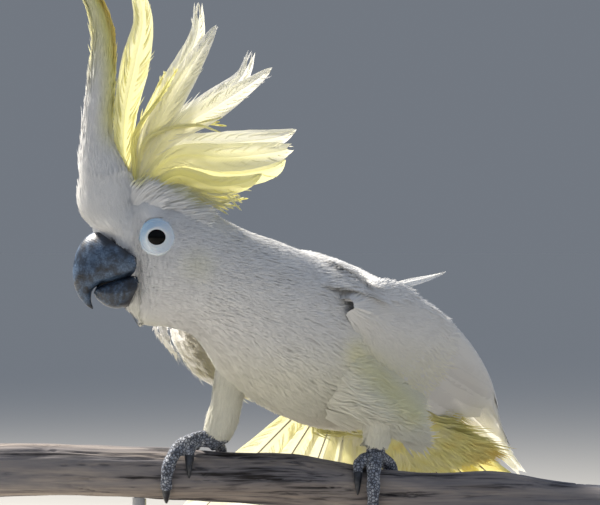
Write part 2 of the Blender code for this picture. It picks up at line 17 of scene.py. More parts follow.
import bpy
import numpy as np
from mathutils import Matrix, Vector

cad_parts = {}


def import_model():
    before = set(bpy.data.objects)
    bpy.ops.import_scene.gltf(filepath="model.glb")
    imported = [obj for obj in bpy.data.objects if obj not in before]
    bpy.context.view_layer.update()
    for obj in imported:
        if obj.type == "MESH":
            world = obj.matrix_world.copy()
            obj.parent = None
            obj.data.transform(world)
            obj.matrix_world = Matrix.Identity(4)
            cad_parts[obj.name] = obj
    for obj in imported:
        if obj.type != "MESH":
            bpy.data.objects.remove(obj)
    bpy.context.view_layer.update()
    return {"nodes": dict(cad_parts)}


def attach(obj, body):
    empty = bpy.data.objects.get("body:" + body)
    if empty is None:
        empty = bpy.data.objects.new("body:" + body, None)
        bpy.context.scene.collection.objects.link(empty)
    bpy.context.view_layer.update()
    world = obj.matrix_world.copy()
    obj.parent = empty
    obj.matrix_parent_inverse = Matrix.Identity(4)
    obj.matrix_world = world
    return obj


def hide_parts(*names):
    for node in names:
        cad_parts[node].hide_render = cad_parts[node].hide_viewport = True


Array = np.ndarray
Materials = dict[str, bpy.types.Material]
LOG = logging.getLogger("cockatoo")

MM = 0.001
PERCH_POINT = np.array([0, -45, 150])  # the perch point in the frame
MIDPLANE = -52  # y of the head's plane of symmetry
BODY = "root"
PATCH = 0.003  # width of one tuft's patch on the OFBake map
MARGIN = 0.02  # round each surface's unwrap on that map
FLOOR_COLOUR = "#BDBBB5"
SKY_COLOUR = "#9DA7B9"  # soft light from all round
TURN = 2 * math.pi
# Round spots of yellow: strength, centre and radius. The throat's spot is not the feathers' own colour but a
# painted warm cast of light bounced up from below.
YELLOW_AND_BOUNCE_SPOTS = (
    (1, (-90, -62, 168), 8),  # roots of the crest
    (0.9, (-90, -42, 168), 8),
    (0.09, (-56, -80, 118), 16),  # cheeks
    (0.09, (-56, -24, 118), 16),
    (0.1, (-84, MIDPLANE, 90), 20),  # throat: painted warm cast of light bounced up from below
)
WING_PIT = ((30, 70), (66, 32), 8)  # x and z of the ends of a yellow band, and its width
UP = np.array([0, 0, 1])
ACROSS = np.array([0, 1, 0])


# ---- numbers and curves ----
def to_world(points: Array) -> Array:
    """Turns millimetres from the perch point into metres in the frame."""
    return (np.asarray(points, float) + PERCH_POINT) * MM


def unit(vectors: Array) -> Array:
    """Gives each vector a length of one."""
    vectors = np.asarray(vectors, float)
    return vectors / np.maximum(np.linalg.norm(vectors, axis=-1, keepdims=True), 1e-9)


def square(vectors: Array, ways: Array) -> Array:
    """Unit vectors at right angles to ways, as near to the given vectors as they can be."""
    return unit(vectors - ways * (vectors * ways).sum(-1, keepdims=True))


def ease(x: Array, low: float, high: float) -> Array:
    """Rises smoothly from 0 at low to 1 at high."""
    t = np.clip((np.asarray(x, float) - low) / (high - low), 0, 1)
    return t * t * (3 - 2 * t)


def near(points: Array, centre: Sequence[float], radius: float) -> Array:
    """Falls smoothly from 1 at a centre to 0 at a radius from it."""
    return 1 - ease(np.linalg.norm(points - np.asarray(centre, float), axis=-1), 0, radius)


def curve(table: Sequence[Sequence[float]] | Array, places: Array) -> Array:
    """Reads a table of stations on a Catmull-Rom curve.

    Args:
        table: One row of numbers for each station.
        places: Station numbers, whole or not. Past an end, the curve holds its end value.

    Returns:
        The rows at those places.
    """
    rows = np.asarray(table, float)
    last = len(rows) - 1
    padded = np.vstack([2 * rows[0] - rows[1], rows, 2 * rows[-1] - rows[-2]])
    places = np.clip(np.asarray(places, float), 0, last)
    i = np.clip(np.floor(places).astype(int), 0, last - 1)
    t = (places - i)[..., None]
    a, b = rows[i], rows[i + 1]
    m0, m1 = (b - padded[i]) / 2, (padded[i + 3] - a) / 2
    return blend(a, m0, b, m1, t)


def blend(a: Array, m0: Array, b: Array, m1: Array, t: Array) -> Array:
    """Goes from a, with slope m0, to b, with slope m1, as t goes from 0 to 1."""
    leave, arrive = t**3 - 2 * t**2 + t, t**3 - t**2
    return (2 * t**3 - 3 * t**2 + 1) * a + leave * m0 + (3 * t**2 - 2 * t**3) * b + arrive * m1


def heading(table: Sequence[Sequence[float]] | Array, places: Array, step: float = 0.05) -> Array:
    """Unit vectors along the curve of a table whose rows start with x, y and z."""
    return unit((curve(table, places + step) - curve(table, places - step))[..., :3])


def around(places: Array, sides: int) -> Sequence[Array]:
    """Every place along a form with every turn round it, as two grids."""
    return np.meshgrid(places, np.linspace(0, TURN, sides, endpoint=False), indexing="ij")


@dataclass(frozen=True)
class Ripple:
    """A smooth random field in space, a sum of plane waves."""

    seed: int
    pitch: float
    waves: int = 7

    def at(self, points: Array) -> Array:
        """Reads the field.

        Args:
            points: Places in millimetres.

        Returns:
            Numbers from about -1 to 1.
        """
        rng = np.random.default_rng(self.seed)
        total = np.zeros(points.shape[:-1])
        for _ in range(self.waves):
            way = unit(rng.normal(size=3)) * TURN / (self.pitch * rng.uniform(0.7, 1.5))
            total += np.sin(points @ way + rng.uniform(0, TURN))
        return total / math.sqrt(self.waves / 2) * 0.6


def yellowness(points: Array) -> Array:
    """How yellow the plumage is at each place, on skin and coat alike. On the throat and the belly the faint
    yellow is a painted warm cast of light bounced up from below.

    Args:
        points: Places in millimetres.

    Returns:
        Numbers from 0, white, to 1, deep yellow.
    """
    x, y, z = np.moveaxis(points, -1, 0)
    spots = sum(strength * near(points, centre, radius) for strength, centre, radius in YELLOW_AND_BOUNCE_SPOTS)
    crown = 0.4 * near(points, (-63, MIDPLANE, 160), 19) * ease(z, 146, 153)
    vent = 0.34 * ease(y, 62, 118) * ease(-z, -62, -18)
    # Painted light: the belly's faint yellow is a warm cast of light bounced up from below.
    belly = 0.1 * ease(-z, -84, -44)
    # The band below the edge of the left wing is a pale olive yellow.
    (x0, z0), (x1, z1), width = WING_PIT
    run, drop = x1 - x0, z0 - z1
    share = np.clip(((x - x0) * run + (z0 - z) * drop) / (run**2 + drop**2), 0, 1)
    beside = np.hypot(x - x0 - run * share, z - z0 + drop * share)
    wing_pit = 0.2 * np.exp(-((beside / width) ** 2)) * ease(y, -46, -30)
    return np.clip(spots + crown + vent + belly + wing_pit, 0, 1)


# ---- meshes from arrays ----
@dataclass
class Sheet:
    """Points and faces of one piece, with what its finish reads at each point."""

    points: Array
    quads: Array
    tris: Array = field(default_factory=lambda: np.zeros((0, 3), int))
    bake: Array | None = None  # place on the OFBake map
    vane: Array | None = None  # place on the Vane map
    tint: Array | None = None  # how yellow or how dark, as its finish says
    shade: Array | None = None  # each feather's own shade, from 0 to 1
    normals: Array | None = None

    @staticmethod
    def join(sheets: Sequence[Sheet]) -> Sheet:
        """Joins sheets that carry the same kinds of numbers into one.

        Args:
            sheets: The sheets, in order.

        Returns:
            One sheet. It drops a kind of number that one of them lacks.
        """
        starts = np.cumsum([0] + [len(s.points) for s in sheets[:-1]])
        kinds = {}
        for kind in ("bake", "vane", "tint", "shade", "normals"):
            values = [getattr(s, kind) for s in sheets]
            kinds[kind] = None if any(v is None for v in values) else np.concatenate(values)
        return Sheet(
            points=np.concatenate([s.points for s in sheets]),
            quads=np.concatenate([s.quads + n for s, n in zip(sheets, starts)]),
            tris=np.concatenate([s.tris + n for s, n in zip(sheets, starts)]),
            **kinds,
        )

    def mesh(self, name: str) -> bpy.types.Mesh:
        """Makes the mesh data.

        Args:
            name: The mesh's name.

        Returns:
            The mesh, in the frame's metres and shaded smooth.
        """
        made = bpy.data.meshes.new(name)
        corners = np.concatenate([self.quads.reshape(-1), self.tris.reshape(-1)]).astype(np.int32)
        sizes = np.concatenate([np.full(len(self.quads), 4), np.full(len(self.tris), 3)])
        made.vertices.add(len(self.points))
        made.vertices.foreach_set("co", to_world(self.points).astype(np.float32).reshape(-1))
        made.loops.add(len(corners))
        made.loops.foreach_set("vertex_index", corners)
        made.polygons.add(len(sizes))
        made.polygons.foreach_set("loop_start", (np.cumsum(sizes) - sizes).astype(np.int32))
        made.polygons.foreach_set("use_smooth", np.ones(len(sizes), bool))
        made.update(calc_edges=True)
        for title, values in (("OFBake", self.bake), ("Vane", self.vane)):
            if values is not None:
                layer = made.uv_layers.new(name=title)
                layer.data.foreach_set("uv", values[corners].astype(np.float32).reshape(-1))
        for title, values in (("tint", self.tint), ("shade", self.shade)):
            if values is not None:
                numbers = made.attributes.new(title, "FLOAT", "POINT")
                numbers.data.foreach_set("value", values.astype(np.float32))
        if self.normals is not None:
            made.normals_split_custom_set_from_vertices(unit(self.normals).tolist())
        return made

    def make(self, name: str, material: bpy.types.Material) -> bpy.types.Object:
        """Makes the object with its finish."""
        return make_object(name, self.mesh(name), material)


def make_object(name: str, mesh: bpy.types.Mesh, material: bpy.types.Material) -> bpy.types.Object:
    """Links a new object that shows a mesh in a finish.

    Args:
        name: The piece's name.
        mesh: Its mesh.
        material: Its finish.

    Returns:
        The new object.
    """
    mesh.materials.clear()
    mesh.materials.append(material)
    made = bpy.data.objects.new(name, mesh)
    bpy.context.scene.collection.objects.link(made)
    return made


def grid_sheet(grid: Array, wrap: bool = False) -> Sheet:
    """An open sheet through a grid of points.

    Args:
        grid: Points as rows, columns, and x, y and z.
        wrap: Joins the last column to the first.

    Returns:
        The sheet. It faces along the cross product of a step down the columns and a step along the rows.
    """
    rows, columns, _ = grid.shape
    i, j = np.meshgrid(np.arange(rows - 1), np.arange(columns if wrap else columns - 1), indexing="ij")
    i, j = i.reshape(-1), j.reshape(-1)
    k = (j + 1) % columns
    quads = np.stack([i * columns + j, (i + 1) * columns + j, (i + 1) * columns + k, i * columns + k], axis=1)
    return Sheet(grid.reshape(-1, 3), quads)


def tube_sheet(rings: Array) -> Sheet:
    """A closed tube through rings that turn by the right hand along it.

    Args:
        rings: Points as rings, points of a ring, and x, y and z.

    Returns:
        The tube, closed by a fan at each end.
    """
    count, sides, _ = rings.shape
    wall = grid_sheet(rings, wrap=True)
    points = np.concatenate([wall.points, rings[0].mean(0)[None], rings[-1].mean(0)[None]])
    j = np.arange(sides)
    k = (j + 1) % sides
    hub, base = np.full(sides, count * sides), (count - 1) * sides
    caps = [np.stack([k, j, hub], 1), np.stack([base + j, base + k, hub + 1], 1)]
    return Sheet(points, wall.quads[:, ::-1], np.concatenate(caps))


def tube_rings(path: Array, radii: Array, sides: int) -> Array:
    """Rings of a round tube along a path.

    Args:
        path: The centreline's points.
        radii: One radius for each point, or one for each point of each ring.
        sides: Points in a ring.

    Returns:
        Points as rings, points of a ring, and x, y and z.
    """
    tangents = unit(np.gradient(path, axis=0))
    hint = unit(np.cross(tangents[0], (1, 0.2, 0.1)))
    turns = np.linspace(0, TURN, sides, endpoint=False)
    reach = np.broadcast_to(np.asarray(radii, float).reshape(len(path), -1), (len(path), sides))
    rings = []
    for place, tangent, radius in zip(path, tangents, reach):
        hint = unit(hint - tangent * (hint @ tangent))
        ring = np.cos(turns)[:, None] * hint + np.sin(turns)[:, None] * np.cross(tangent, hint)
        rings.append(place + radius[:, None] * ring)
    return np.array(rings)


def fused(name: str, sheets: Sequence[Sheet], voxel: float, smooth: int = 2) -> bpy.types.Mesh:
    """Fuses closed sheets into one mesh without seams.

    Args:
        name: The mesh's name.
        sheets: Closed sheets that overlap.
        voxel: Edge of the cells that the mesh is rebuilt from, in millimetres.
        smooth: Rounds of smoothing.

    Returns:
        The new mesh.
    """
    raw = Sheet.join([Sheet(s.points, s.quads, s.tris) for s in sheets]).mesh(name + "_raw")
    helper = bpy.data.objects.new(name + "_raw", raw)
    bpy.context.scene.collection.objects.link(helper)
    remesh = helper.modifiers.new("fuse", "REMESH")
    remesh.mode = "VOXEL"
    remesh.voxel_size = voxel * MM
    remesh.use_smooth_shade = True
    relax = helper.modifiers.new("relax", "SMOOTH")
    relax.factor = 0.5
    relax.iterations = smooth
    graph = bpy.context.evaluated_depsgraph_get()
    made = bpy.data.meshes.new_from_object(helper.evaluated_get(graph))
    made.name = name
    bpy.data.objects.remove(helper)
    bpy.data.meshes.remove(raw)
    return made


def places_of(mesh: bpy.types.Mesh) -> Array:
    """Reads a mesh's points.

    Args:
        mesh: The mesh, in the frame's metres.

    Returns:
        Its points in millimetres from the perch point.
    """
    points = np.empty(len(mesh.vertices) * 3, np.float32)
    mesh.vertices.foreach_get("co", points)
    return points.reshape(-1, 3).astype(float) / MM - PERCH_POINT


# ---- surfaces that feathers lie on ----
@dataclass
class Lines:
    """Lines that run over a surface: steps along each line first, then lines, then x, y and z."""

    places: Array
    normals: Array
    ways: Array
    u: Array
    v: Array


class Surface:
    """A smooth surface with coordinates u and v, and the way that feathers lie on it."""

    outward = -1  # sign that turns the cross product of the slopes outwards
    tailward = -1  # sign of u in which the feathers point
    small = 0.01
    u_range = (0, 1)
    v_range = (0, TURN)
    v_edges = (-math.inf, math.inf)  # where broad feathers stop

    def point(self, u: Array, v: Array) -> Array:
        """Places of the surface, in millimetres."""
        raise NotImplementedError

    def slopes(self, u: Array, v: Array) -> tuple[Array, Array]:
        """How the place changes over the surface.

        Args:
            u: First coordinate of each place.
            v: Second coordinate of each place.

        Returns:
            The change in millimetres for one step of u, and for one of v.
        """
        e = self.small
        along = (self.point(u + e, v) - self.point(u - e, v)) / (2 * e)
        across = (self.point(u, v + e) - self.point(u, v - e)) / (2 * e)
        return along, across

    def normal(self, u: Array, v: Array) -> Array:
        """Unit vectors that point out of the surface."""
        along, across = self.slopes(u, v)
        return unit(np.cross(along, across)) * self.outward

    def flow(self, u: Array, v: Array) -> Array:
        """Unit vectors along the lie of the feathers."""
        return unit(self.slopes(u, v)[0] * self.tailward)

    def step(self, u: Array, v: Array, move: Array) -> tuple[Array, Array]:
        """Moves along the surface.

        Args:
            u: First coordinate of each place.
            v: Second coordinate of each place.
            move: A vector in space for each place.

        Returns:
            The coordinates after the move.
        """
        along, across = self.slopes(u, v)
        aa, bb, ab = (along**2).sum(-1), (across**2).sum(-1), (along * across).sum(-1)
        ma, mb = (along * move).sum(-1), (across * move).sum(-1)
        det = np.maximum(aa * bb - ab**2, 1e-3)
        du, dv = (ma * bb - mb * ab) / det, (mb * aa - ma * ab) / det
        return u + np.clip(du, -2, 2), v + np.clip(dv, -1.5, 1.5)

    def trace(self, u: Array, v: Array, ahead: Array, length: Array, steps: int) -> Lines:
        """Runs a line along the surface from each root, as straight as the surface lets it.

        Args:
            u: First coordinate of each root.
            v: Second coordinate of each root.
            ahead: Direction in space in which each line sets off.
            length: Length of each line.
            steps: Number of steps in a line.

        Returns:
            The lines.
        """
        kept: list[tuple[Array, ...]] = []
        for number in range(steps + 1):
            normal = self.normal(u, v)
            ahead = square(ahead, normal)
            kept.append((self.point(u, v), normal, ahead, u, v))
            if number < steps:
                u, v = self.step(u, v, ahead * (length / steps)[:, None])
        return Lines(*(np.array(values) for values in zip(*kept)))

    def spot(self, u: Array, v: Array) -> Array:
        """Unwraps the surface to a square with a narrow margin.

        Args:
            u: First coordinate of each place.
            v: Second coordinate of each place.

        Returns:
            Each place on the square, from 0 to 1 both ways.
        """
        (u0, u1), (v0, v1) = self.u_range, self.v_range
        both = np.stack([np.clip((u - u0) / (u1 - u0), 0, 1), np.mod((v - v0) / (v1 - v0), 1)], axis=-1)
        return both * (1 - 2 * MARGIN) + MARGIN

    def roots(self, low: float, high: float, gap: float, rng: np.random.Generator) -> tuple[Array, Array]:
        """Scatters roots in staggered rows with small shifts.

        Args:
            low: First value of u.
            high: Last value of u.
            gap: Distance between neighbours, in millimetres.
            rng: The source of the shifts.

        Returns:
            The coordinates of the roots.
        """
        v_line = np.linspace(*self.v_range, 65)
        found_u, found_v = [], []
        u, row = low, 0
        while u < high:
            line = self.point(np.full(65, u), v_line)
            reach = np.concatenate([[0], np.cumsum(np.linalg.norm(np.diff(line, axis=0), axis=1))])
            count = max(4, int(reach[-1] / gap))
            shares = (np.arange(count) + 0.5 * (row % 2) + rng.uniform(-0.36, 0.36, count)) / count
            v = np.interp(np.mod(shares, 1) * reach[-1], reach, v_line)
            pace = np.linalg.norm(self.slopes(np.full(count, u), v)[0], axis=-1)
            stride = 0.86 * gap / max(float(np.median(pace)), 1e-6)
            found_u.append(u + rng.uniform(-0.45, 0.45, count) * stride)
            found_v.append(v)
            u, row = u + stride, row + 1
        return np.clip(np.concatenate(found_u), low, high), np.concatenate(found_v)


class BodySurface(Surface):
    """The outer form of rump, back, breast, neck and head. u runs from rump to face, v round the body."""

    # Rump to face: centre x, y, z, then half width, upper radius, lower radius.
    stations = (
        (42, 143, 17, 26, 3, 3),
        (41.2, 135, 24.5, 31.5, 8, 7.5),
        (39.4, 122, 36, 35.5, 20, 18),
        (36, 104, 50, 39.5, 33, 35),
        (27, 78, 63, 44, 40, 45),
        (14, 43, 73, 47.5, 45, 49),
        (0, 7, 81, 50, 44.5, 49),
        (-13, -15, 88.5, 47, 38.5, 46),
        (-27, -31.5, 98.5, 40, 36, 41),
        (-46, -44, 109, 34, 32.5, 34),
        (-66, -50, 117, 30.5, 35, 35),
        (-78.5, -51.6, 119.6, 28.9, 36.7, 36.2),
        (-86.5, -52, 120.6, 22.4, 36.4, 35.8),
        (-92.5, -52, 120.6, 13.4, 34, 34.6),
        (-102.5, -52, 119.5, 3.6, 24, 25.5),
    )
    neck = 8  # station where the neck starts
    u_range = (0, 14)

    def point(self, u: Array, v: Array) -> Array:
        """Places of the surface. Past its ends it goes straight on.

        Args:
            u: Place along it.
            v: Place round it, in radians from the bird's left.

        Returns:
            Places in space.
        """
        rows = curve(self.stations, u)
        ahead = heading(self.stations, u)
        side = unit(np.cross(UP, ahead))
        up = np.cross(ahead, side)
        past = np.minimum(u, 0)[..., None] * 10 + np.maximum(u - self.u_range[1], 0)[..., None] * 7
        height = np.where(np.sin(v) > 0, rows[..., 4], rows[..., 5])
        ring = side * (rows[..., 3] * np.cos(v))[..., None] + up * (height * np.sin(v))[..., None]
        return rows[..., :3] + ahead * past + ring

    def side_y(self, x: Array, z: Array) -> Array:
        """y of the head's side towards -Y, over a place in its profile.

        Args:
            x: Place along the head.
            z: Height of the place.

        Returns:
            y of the surface there.
        """
        table = np.asarray(self.stations)
        first = self.neck
        u = np.interp(-np.asarray(x, float), -table[first:, 0], np.arange(first, len(table)))
        rows = curve(table, u)
        height = np.where(z > rows[..., 2], rows[..., 4], rows[..., 5])
        share = np.clip((z - rows[..., 2]) / height, -0.98, 0.98)
        return rows[..., 1] - rows[..., 3] * np.sqrt(1 - share**2)


class ColumnSurface(Surface):
    """The tall front of the crest, an oval column. u runs up it, v round it."""

    tailward = 1
    # Centre x, z, then half width fore and aft, half width across.
    stations = (
        (-99.5, 134, 10, 9),
        (-104.5, 141, 14.5, 12),
        (-108, 150, 16.3, 12.5),
        (-108.6, 162, 16.2, 11.5),
        (-111, 174, 13.4, 9.2),
        (-113.6, 187, 9.3, 6.6),
        (-113.2, 200, 8.1, 5.2),
        (-110.9, 225, 7, 3.3),
        (-110.2, 246, 5.8, 2.2),
        (-112.8, 259, 5, 1.8),
        (-117, 268, 4.5, 1.5),
        (-123, 277, 3.6, 1.1),
        (-130, 285, 1.2, 0.6),
    )
    u_range = (0, 12)

    def side_y(self, x: Array, z: Array) -> Array:
        """y of the column's side towards -Y, over a place in its profile.

        Args:
            x: Place fore and aft.
            z: Height of the place.

        Returns:
            y of the surface there.
        """
        u = np.interp(z, [row[1] for row in self.stations], np.arange(len(self.stations)))
        middle, _, fore, across = np.moveaxis(curve(self.stations, u), -1, 0)
        share = np.clip((x - middle) / fore, -0.98, 0.98)
        return MIDPLANE - across * np.sqrt(1 - share**2)

    def point(self, u: Array, v: Array) -> Array:
        """Places of the surface. Past its ends it goes straight on.

        Args:
            u: Place up it.
            v: Place round it, in radians from its rear.

        Returns:
            Places in space.
        """
        x, z, fore, across = np.moveaxis(curve(self.stations, u), -1, 0)
        past = np.minimum(u, 0) * 8 + np.maximum(u - self.u_range[1], 0) * 8
        x = x + fore * np.cos(v) - 0.6 * np.maximum(past, 0)
        return np.stack([x, MIDPLANE + across * np.sin(v), z + past], axis=-1)


class LegSurface(Surface):
    """The feathered shank of one leg. u runs down it, v round it."""

    tailward = 1
    # Down each leg: centre x, y, z, then radius.
    tables = {
        "right": (
            (-31, 2, 80, 17),
            (-35, -2, 64, 13.5),
            (-40, -3, 49, 9.6),
            (-42.5, -1, 37, 8.8),
            (-45, 1, 27.5, 9.2),
            (-48.5, 1.5, 18.5, 7.4),
        ),
        "left": (
            (30, -2, 70, 19),
            (37, -6, 55, 15.5),
            (42, -8, 42, 12.2),
            (44.5, -7, 31, 9.6),
            (44.5, -4, 22, 8.4),
            (43.2, -2, 13.5, 7.2),
        ),
    }

    def __init__(self, side: str) -> None:
        """Keeps the table of one side."""
        self.table = self.tables[side]
        self.u_range = (0, len(self.table) - 1)

    def point(self, u: Array, v: Array) -> Array:
        """Places of the surface. Past its ends it goes straight on.

        Args:
            u: Place down it.
            v: Place round it, in radians.

        Returns:
            Places in space.
        """
        rows = curve(self.table, u)
        ahead = heading(self.table, u)
        side = unit(np.cross(ahead, ACROSS))
        other = np.cross(ahead, side)
        past = (np.maximum(u - self.u_range[1], 0) + np.minimum(u, 0))[..., None] * 10
        ring = side * np.cos(v)[..., None] + other * np.sin(v)[..., None]
        return rows[..., :3] + ahead * past + ring * rows[..., 3:4]


class WingSurface(Surface):
    """The outside of one folded wing. u runs from wrist to tip, v from the lower edge over to the back."""

    tailward = 1
    # Distance from the wrist, then out and up of the lower edge, of the farthest bulge, of the shoulder of
    # the arch and of the inner top edge, then the wall's thickness.
    sections = (
        (-5, -8, -5, -3, 0, -6, 6, -14, 6, 2.5),
        (6, -7, -10, 1.5, -1, -2, 11.5, -20, 14, 5),
        (27, -4, -16, 6, 1, 1.5, 21, -26, 24, 8),
        (54, -4, -20, 10.5, 4, 5.5, 28, -29, 31, 9),
        (91, -6, -21.5, 13.5, 8, 8.5, 32, -33, 39, 8),
        (119, -9, -18.5, 15, 10, 11, 31.5, -33, 41, 7),
        (147, -12, -13.5, 15, 10, 10.5, 28.5, -29, 38, 5.5),
        (180, -12, -10, 11, 8, 7, 25, -25, 33, 4),
        (208, -10, -8.5, 6, 5, 2, 18, -22, 24, 3.2),
        (235, -9, -8, 1, 1.5, -4, 11, -18, 16, 2.6),
        (262, -8, -8.5, -1.5, -2.5, -6, 4, -13, 8, 2.2),
        (286, -5, -11, -1.5, -6.5, -3.5, -3, -8, 0, 1.8),
        (305, -3, -13, -0.5, -10, -1.5, -8.5, -5, -7.5, 1.4),
    )
    # Wrist place, heading, drop over length, outward sign, further reach of the inner top edge.
    places = {
        "left": ((36, -44, 93), 22.2, 0.345, 1, 0),
        "right": ((-85, 10, 80.8), 28, 0.22, -1, 22),
    }
    span = 305
    u_range = (0, 12)
    v_range = (0, 3)
    v_edges = (-0.02, 3.1)

    def __init__(self, side: str) -> None:
        """Sets up the wing.

        Args:
            side: Its side, left or right.
        """
        self.wrist, heading, self.slope, self.sign, self.reach = self.places[side]
        turn = math.radians(heading)
        self.back = np.array([math.sin(turn), math.cos(turn), 0])
        self.out = np.array([math.cos(turn), -math.sin(turn), 0]) * self.sign
        self.outward = self.sign

    def station(self, distance: Array) -> Array:
        """Station number at a distance from the wrist."""
        return np.interp(distance, [row[0] for row in self.sections], np.arange(len(self.sections)))

    def point(self, u: Array, v: Array) -> Array:
        """Places of the surface. Past its edges it goes straight on.

        Args:
            u: Place along it, as a station number.
            v: Place across it, from 0 at the lower edge to 3 at the inner top edge.

        Returns:
            Places in space.
        """
        rows = curve(self.sections, u)
        distance = rows[..., 0]
        corners = rows[..., 1:9].reshape(*rows.shape[:-1], 4, 2).copy()
        fade = np.sin(math.pi * np.clip(distance / self.span, 0, 1)) ** 0.5
        corners[..., 3, 0] -= self.reach * fade
        corners[..., 3, 1] += 0.2 * self.reach * fade
        before = 2 * corners[..., :1, :] - corners[..., 1:2, :]
        after = 2 * corners[..., 3:, :] - corners[..., 2:3, :]
        padded = np.concatenate([before, corners, after], axis=-2)
        i = np.clip(np.floor(v).astype(int), 0, 2)
        wide = (np.clip(v, -0.6, 3.6) - i)[..., None]
        t = np.clip(wide, 0, 1)
        four = (i[..., None] + np.arange(4))[..., None]
        p0, p1, p2, p3 = np.moveaxis(np.take_along_axis(padded, four, axis=-2), -2, 0)
        m0, m1 = (p2 - p0) / 2, (p3 - p1) / 2
        arch = blend(p1, m0, p2, m1, t) + np.where(wide > t, m1, m0) * (wide - t)
        away = distance + np.maximum(u - self.u_range[1], 0) * 15 + np.minimum(u, 0) * 8
        made = np.asarray(self.wrist) + away[..., None] * self.back + arch[..., :1] * self.out
        made[..., 2] += arch[..., 1] - self.slope * away
        return made


def shares(count: int, places: Array) -> Array:
    """How much each station counts at a place. Past an end, the curve goes on as it came."""
    inside = np.clip(places, 0, count - 1)
    return 2 * curve(np.eye(count), inside) - curve(np.eye(count), 2 * inside - places)


class PatchSurface(Surface):
    """Plumage that bridges two forms. u runs along the feathers, v across them."""

    tailward = 1

    def __init__(self, control: Sequence[Sequence[Sequence[float]]] | Array, inside: Sequence[float]) -> None:
        """Keeps the points that span the patch.

        Args:
            control: Rows across the feathers, points along them, and x, y and z.
            inside: A place on the patch's inner side.
        """
        self.control = np.asarray(control, float)
        rows, columns, _ = self.control.shape
        self.u_range, self.v_range = (0, columns - 1), (0, rows - 1)
        middle = np.array([(columns - 1) / 2]), np.array([(rows - 1) / 2])
        across = np.cross(*self.slopes(*middle))
        self.outward = float(np.sign((across * (self.point(*middle) - np.asarray(inside))).sum()))

    def point(self, u: Array, v: Array) -> Array:
        """Places of the surface. Past its edges it goes on as it came."""
        rows, columns, _ = self.control.shape
        return np.einsum("...r,rck,...c->...k", shares(rows, v), self.control, shares(columns, u))


# ---- feathers ----
@dataclass(frozen=True)
class TuftStyle:
    """Size and lie of the tufts on one stretch of coat. Each tuft is a fan of narrow pointed strips."""

    spacing: float  # between neighbouring tufts, mm
    length: float  # mm
    width: float  # of one strip, mm
    depth: float  # of the skin under the tips, mm
    strips: int = 5
    spread: float = 1.6  # how far the outer strips sit from the middle one, mm
    fan: float = 0.16  # angle of the outer strips, radians
    loft: float = 0.5  # how far the boldest tips stand proud, mm
    wander: float = 0.22  # how far neighbouring tufts turn from one another, radians
    steps: int = 3
    round_edge: float = 0.2  # how far the normals lean outwards at a strip's edges


def strips_on(lines: Lines, spots: Array, style: TuftStyle, rng: np.random.Generator, size: Array) -> Sheet:
    """Lays a tuft along each line.

    Args:
        lines: One line for each tuft.
        spots: Each root's place on the unwrap.
        style: The tufts' sizes.
        rng: The source of small differences.
        size: A factor for each tuft's width and spread.

    Returns:
        All strips as one sheet.
    """
    stages, tufts, _ = lines.places.shape
    strips = style.strips
    t = np.linspace(0, 1, stages)
    place = (np.arange(strips) - (strips - 1) / 2) / max((strips - 1) / 2, 1)
    place = place[None, :] + rng.uniform(-0.22, 0.22, (tufts, strips))
    shift = place * style.spread * size[:, None]
    fan = place * style.fan + rng.normal(0, 0.05, (tufts, strips))
    reach = np.linalg.norm(np.diff(lines.places, axis=0), axis=-1).sum(0)
    cut = rng.uniform(0.72, 1, (tufts, strips))
    rise = style.loft * rng.uniform(0, 1, (tufts, strips)) ** 2 * size[:, None]
    side = np.cross(lines.normals, lines.ways)
    thick = style.width / 2 * np.interp(t, [0, 0.35, 0.75, 1], [0.7, 1, 0.72, 0])
    rows, facing = [], []
    for k in range(stages):
        here = t[k] * cut
        i = np.clip(np.floor(here * (stages - 1)).astype(int), 0, stages - 2)
        f = (here * (stages - 1) - i)[..., None]
        column = np.arange(tufts)[:, None]
        middle = lines.places[i, column] * (1 - f) + lines.places[i + 1, column] * f
        normal = unit(lines.normals[i, column] * (1 - f) + lines.normals[i + 1, column] * f)
        beside = unit(side[i, column] * (1 - f) + side[i + 1, column] * f)
        lift = -style.depth * (1 - t[k]) ** 1.3 * 0.96 + rise * t[k] ** 1.5
        slide = shift * (0.75 + 0.25 * t[k]) + np.sin(fan) * reach[:, None] * here
        middle = middle + beside * slide[..., None] + normal * lift[..., None]
        if k < stages - 1:
            half = thick[k] * size[:, None, None]
            rows += [middle - beside * half, middle + beside * half]
            facing += [normal - beside * style.round_edge, normal + beside * style.round_edge]
        else:
            rows.append(middle)
            facing.append(normal)
    return strip_sheet(np.array(rows), np.array(facing), spots, rng)


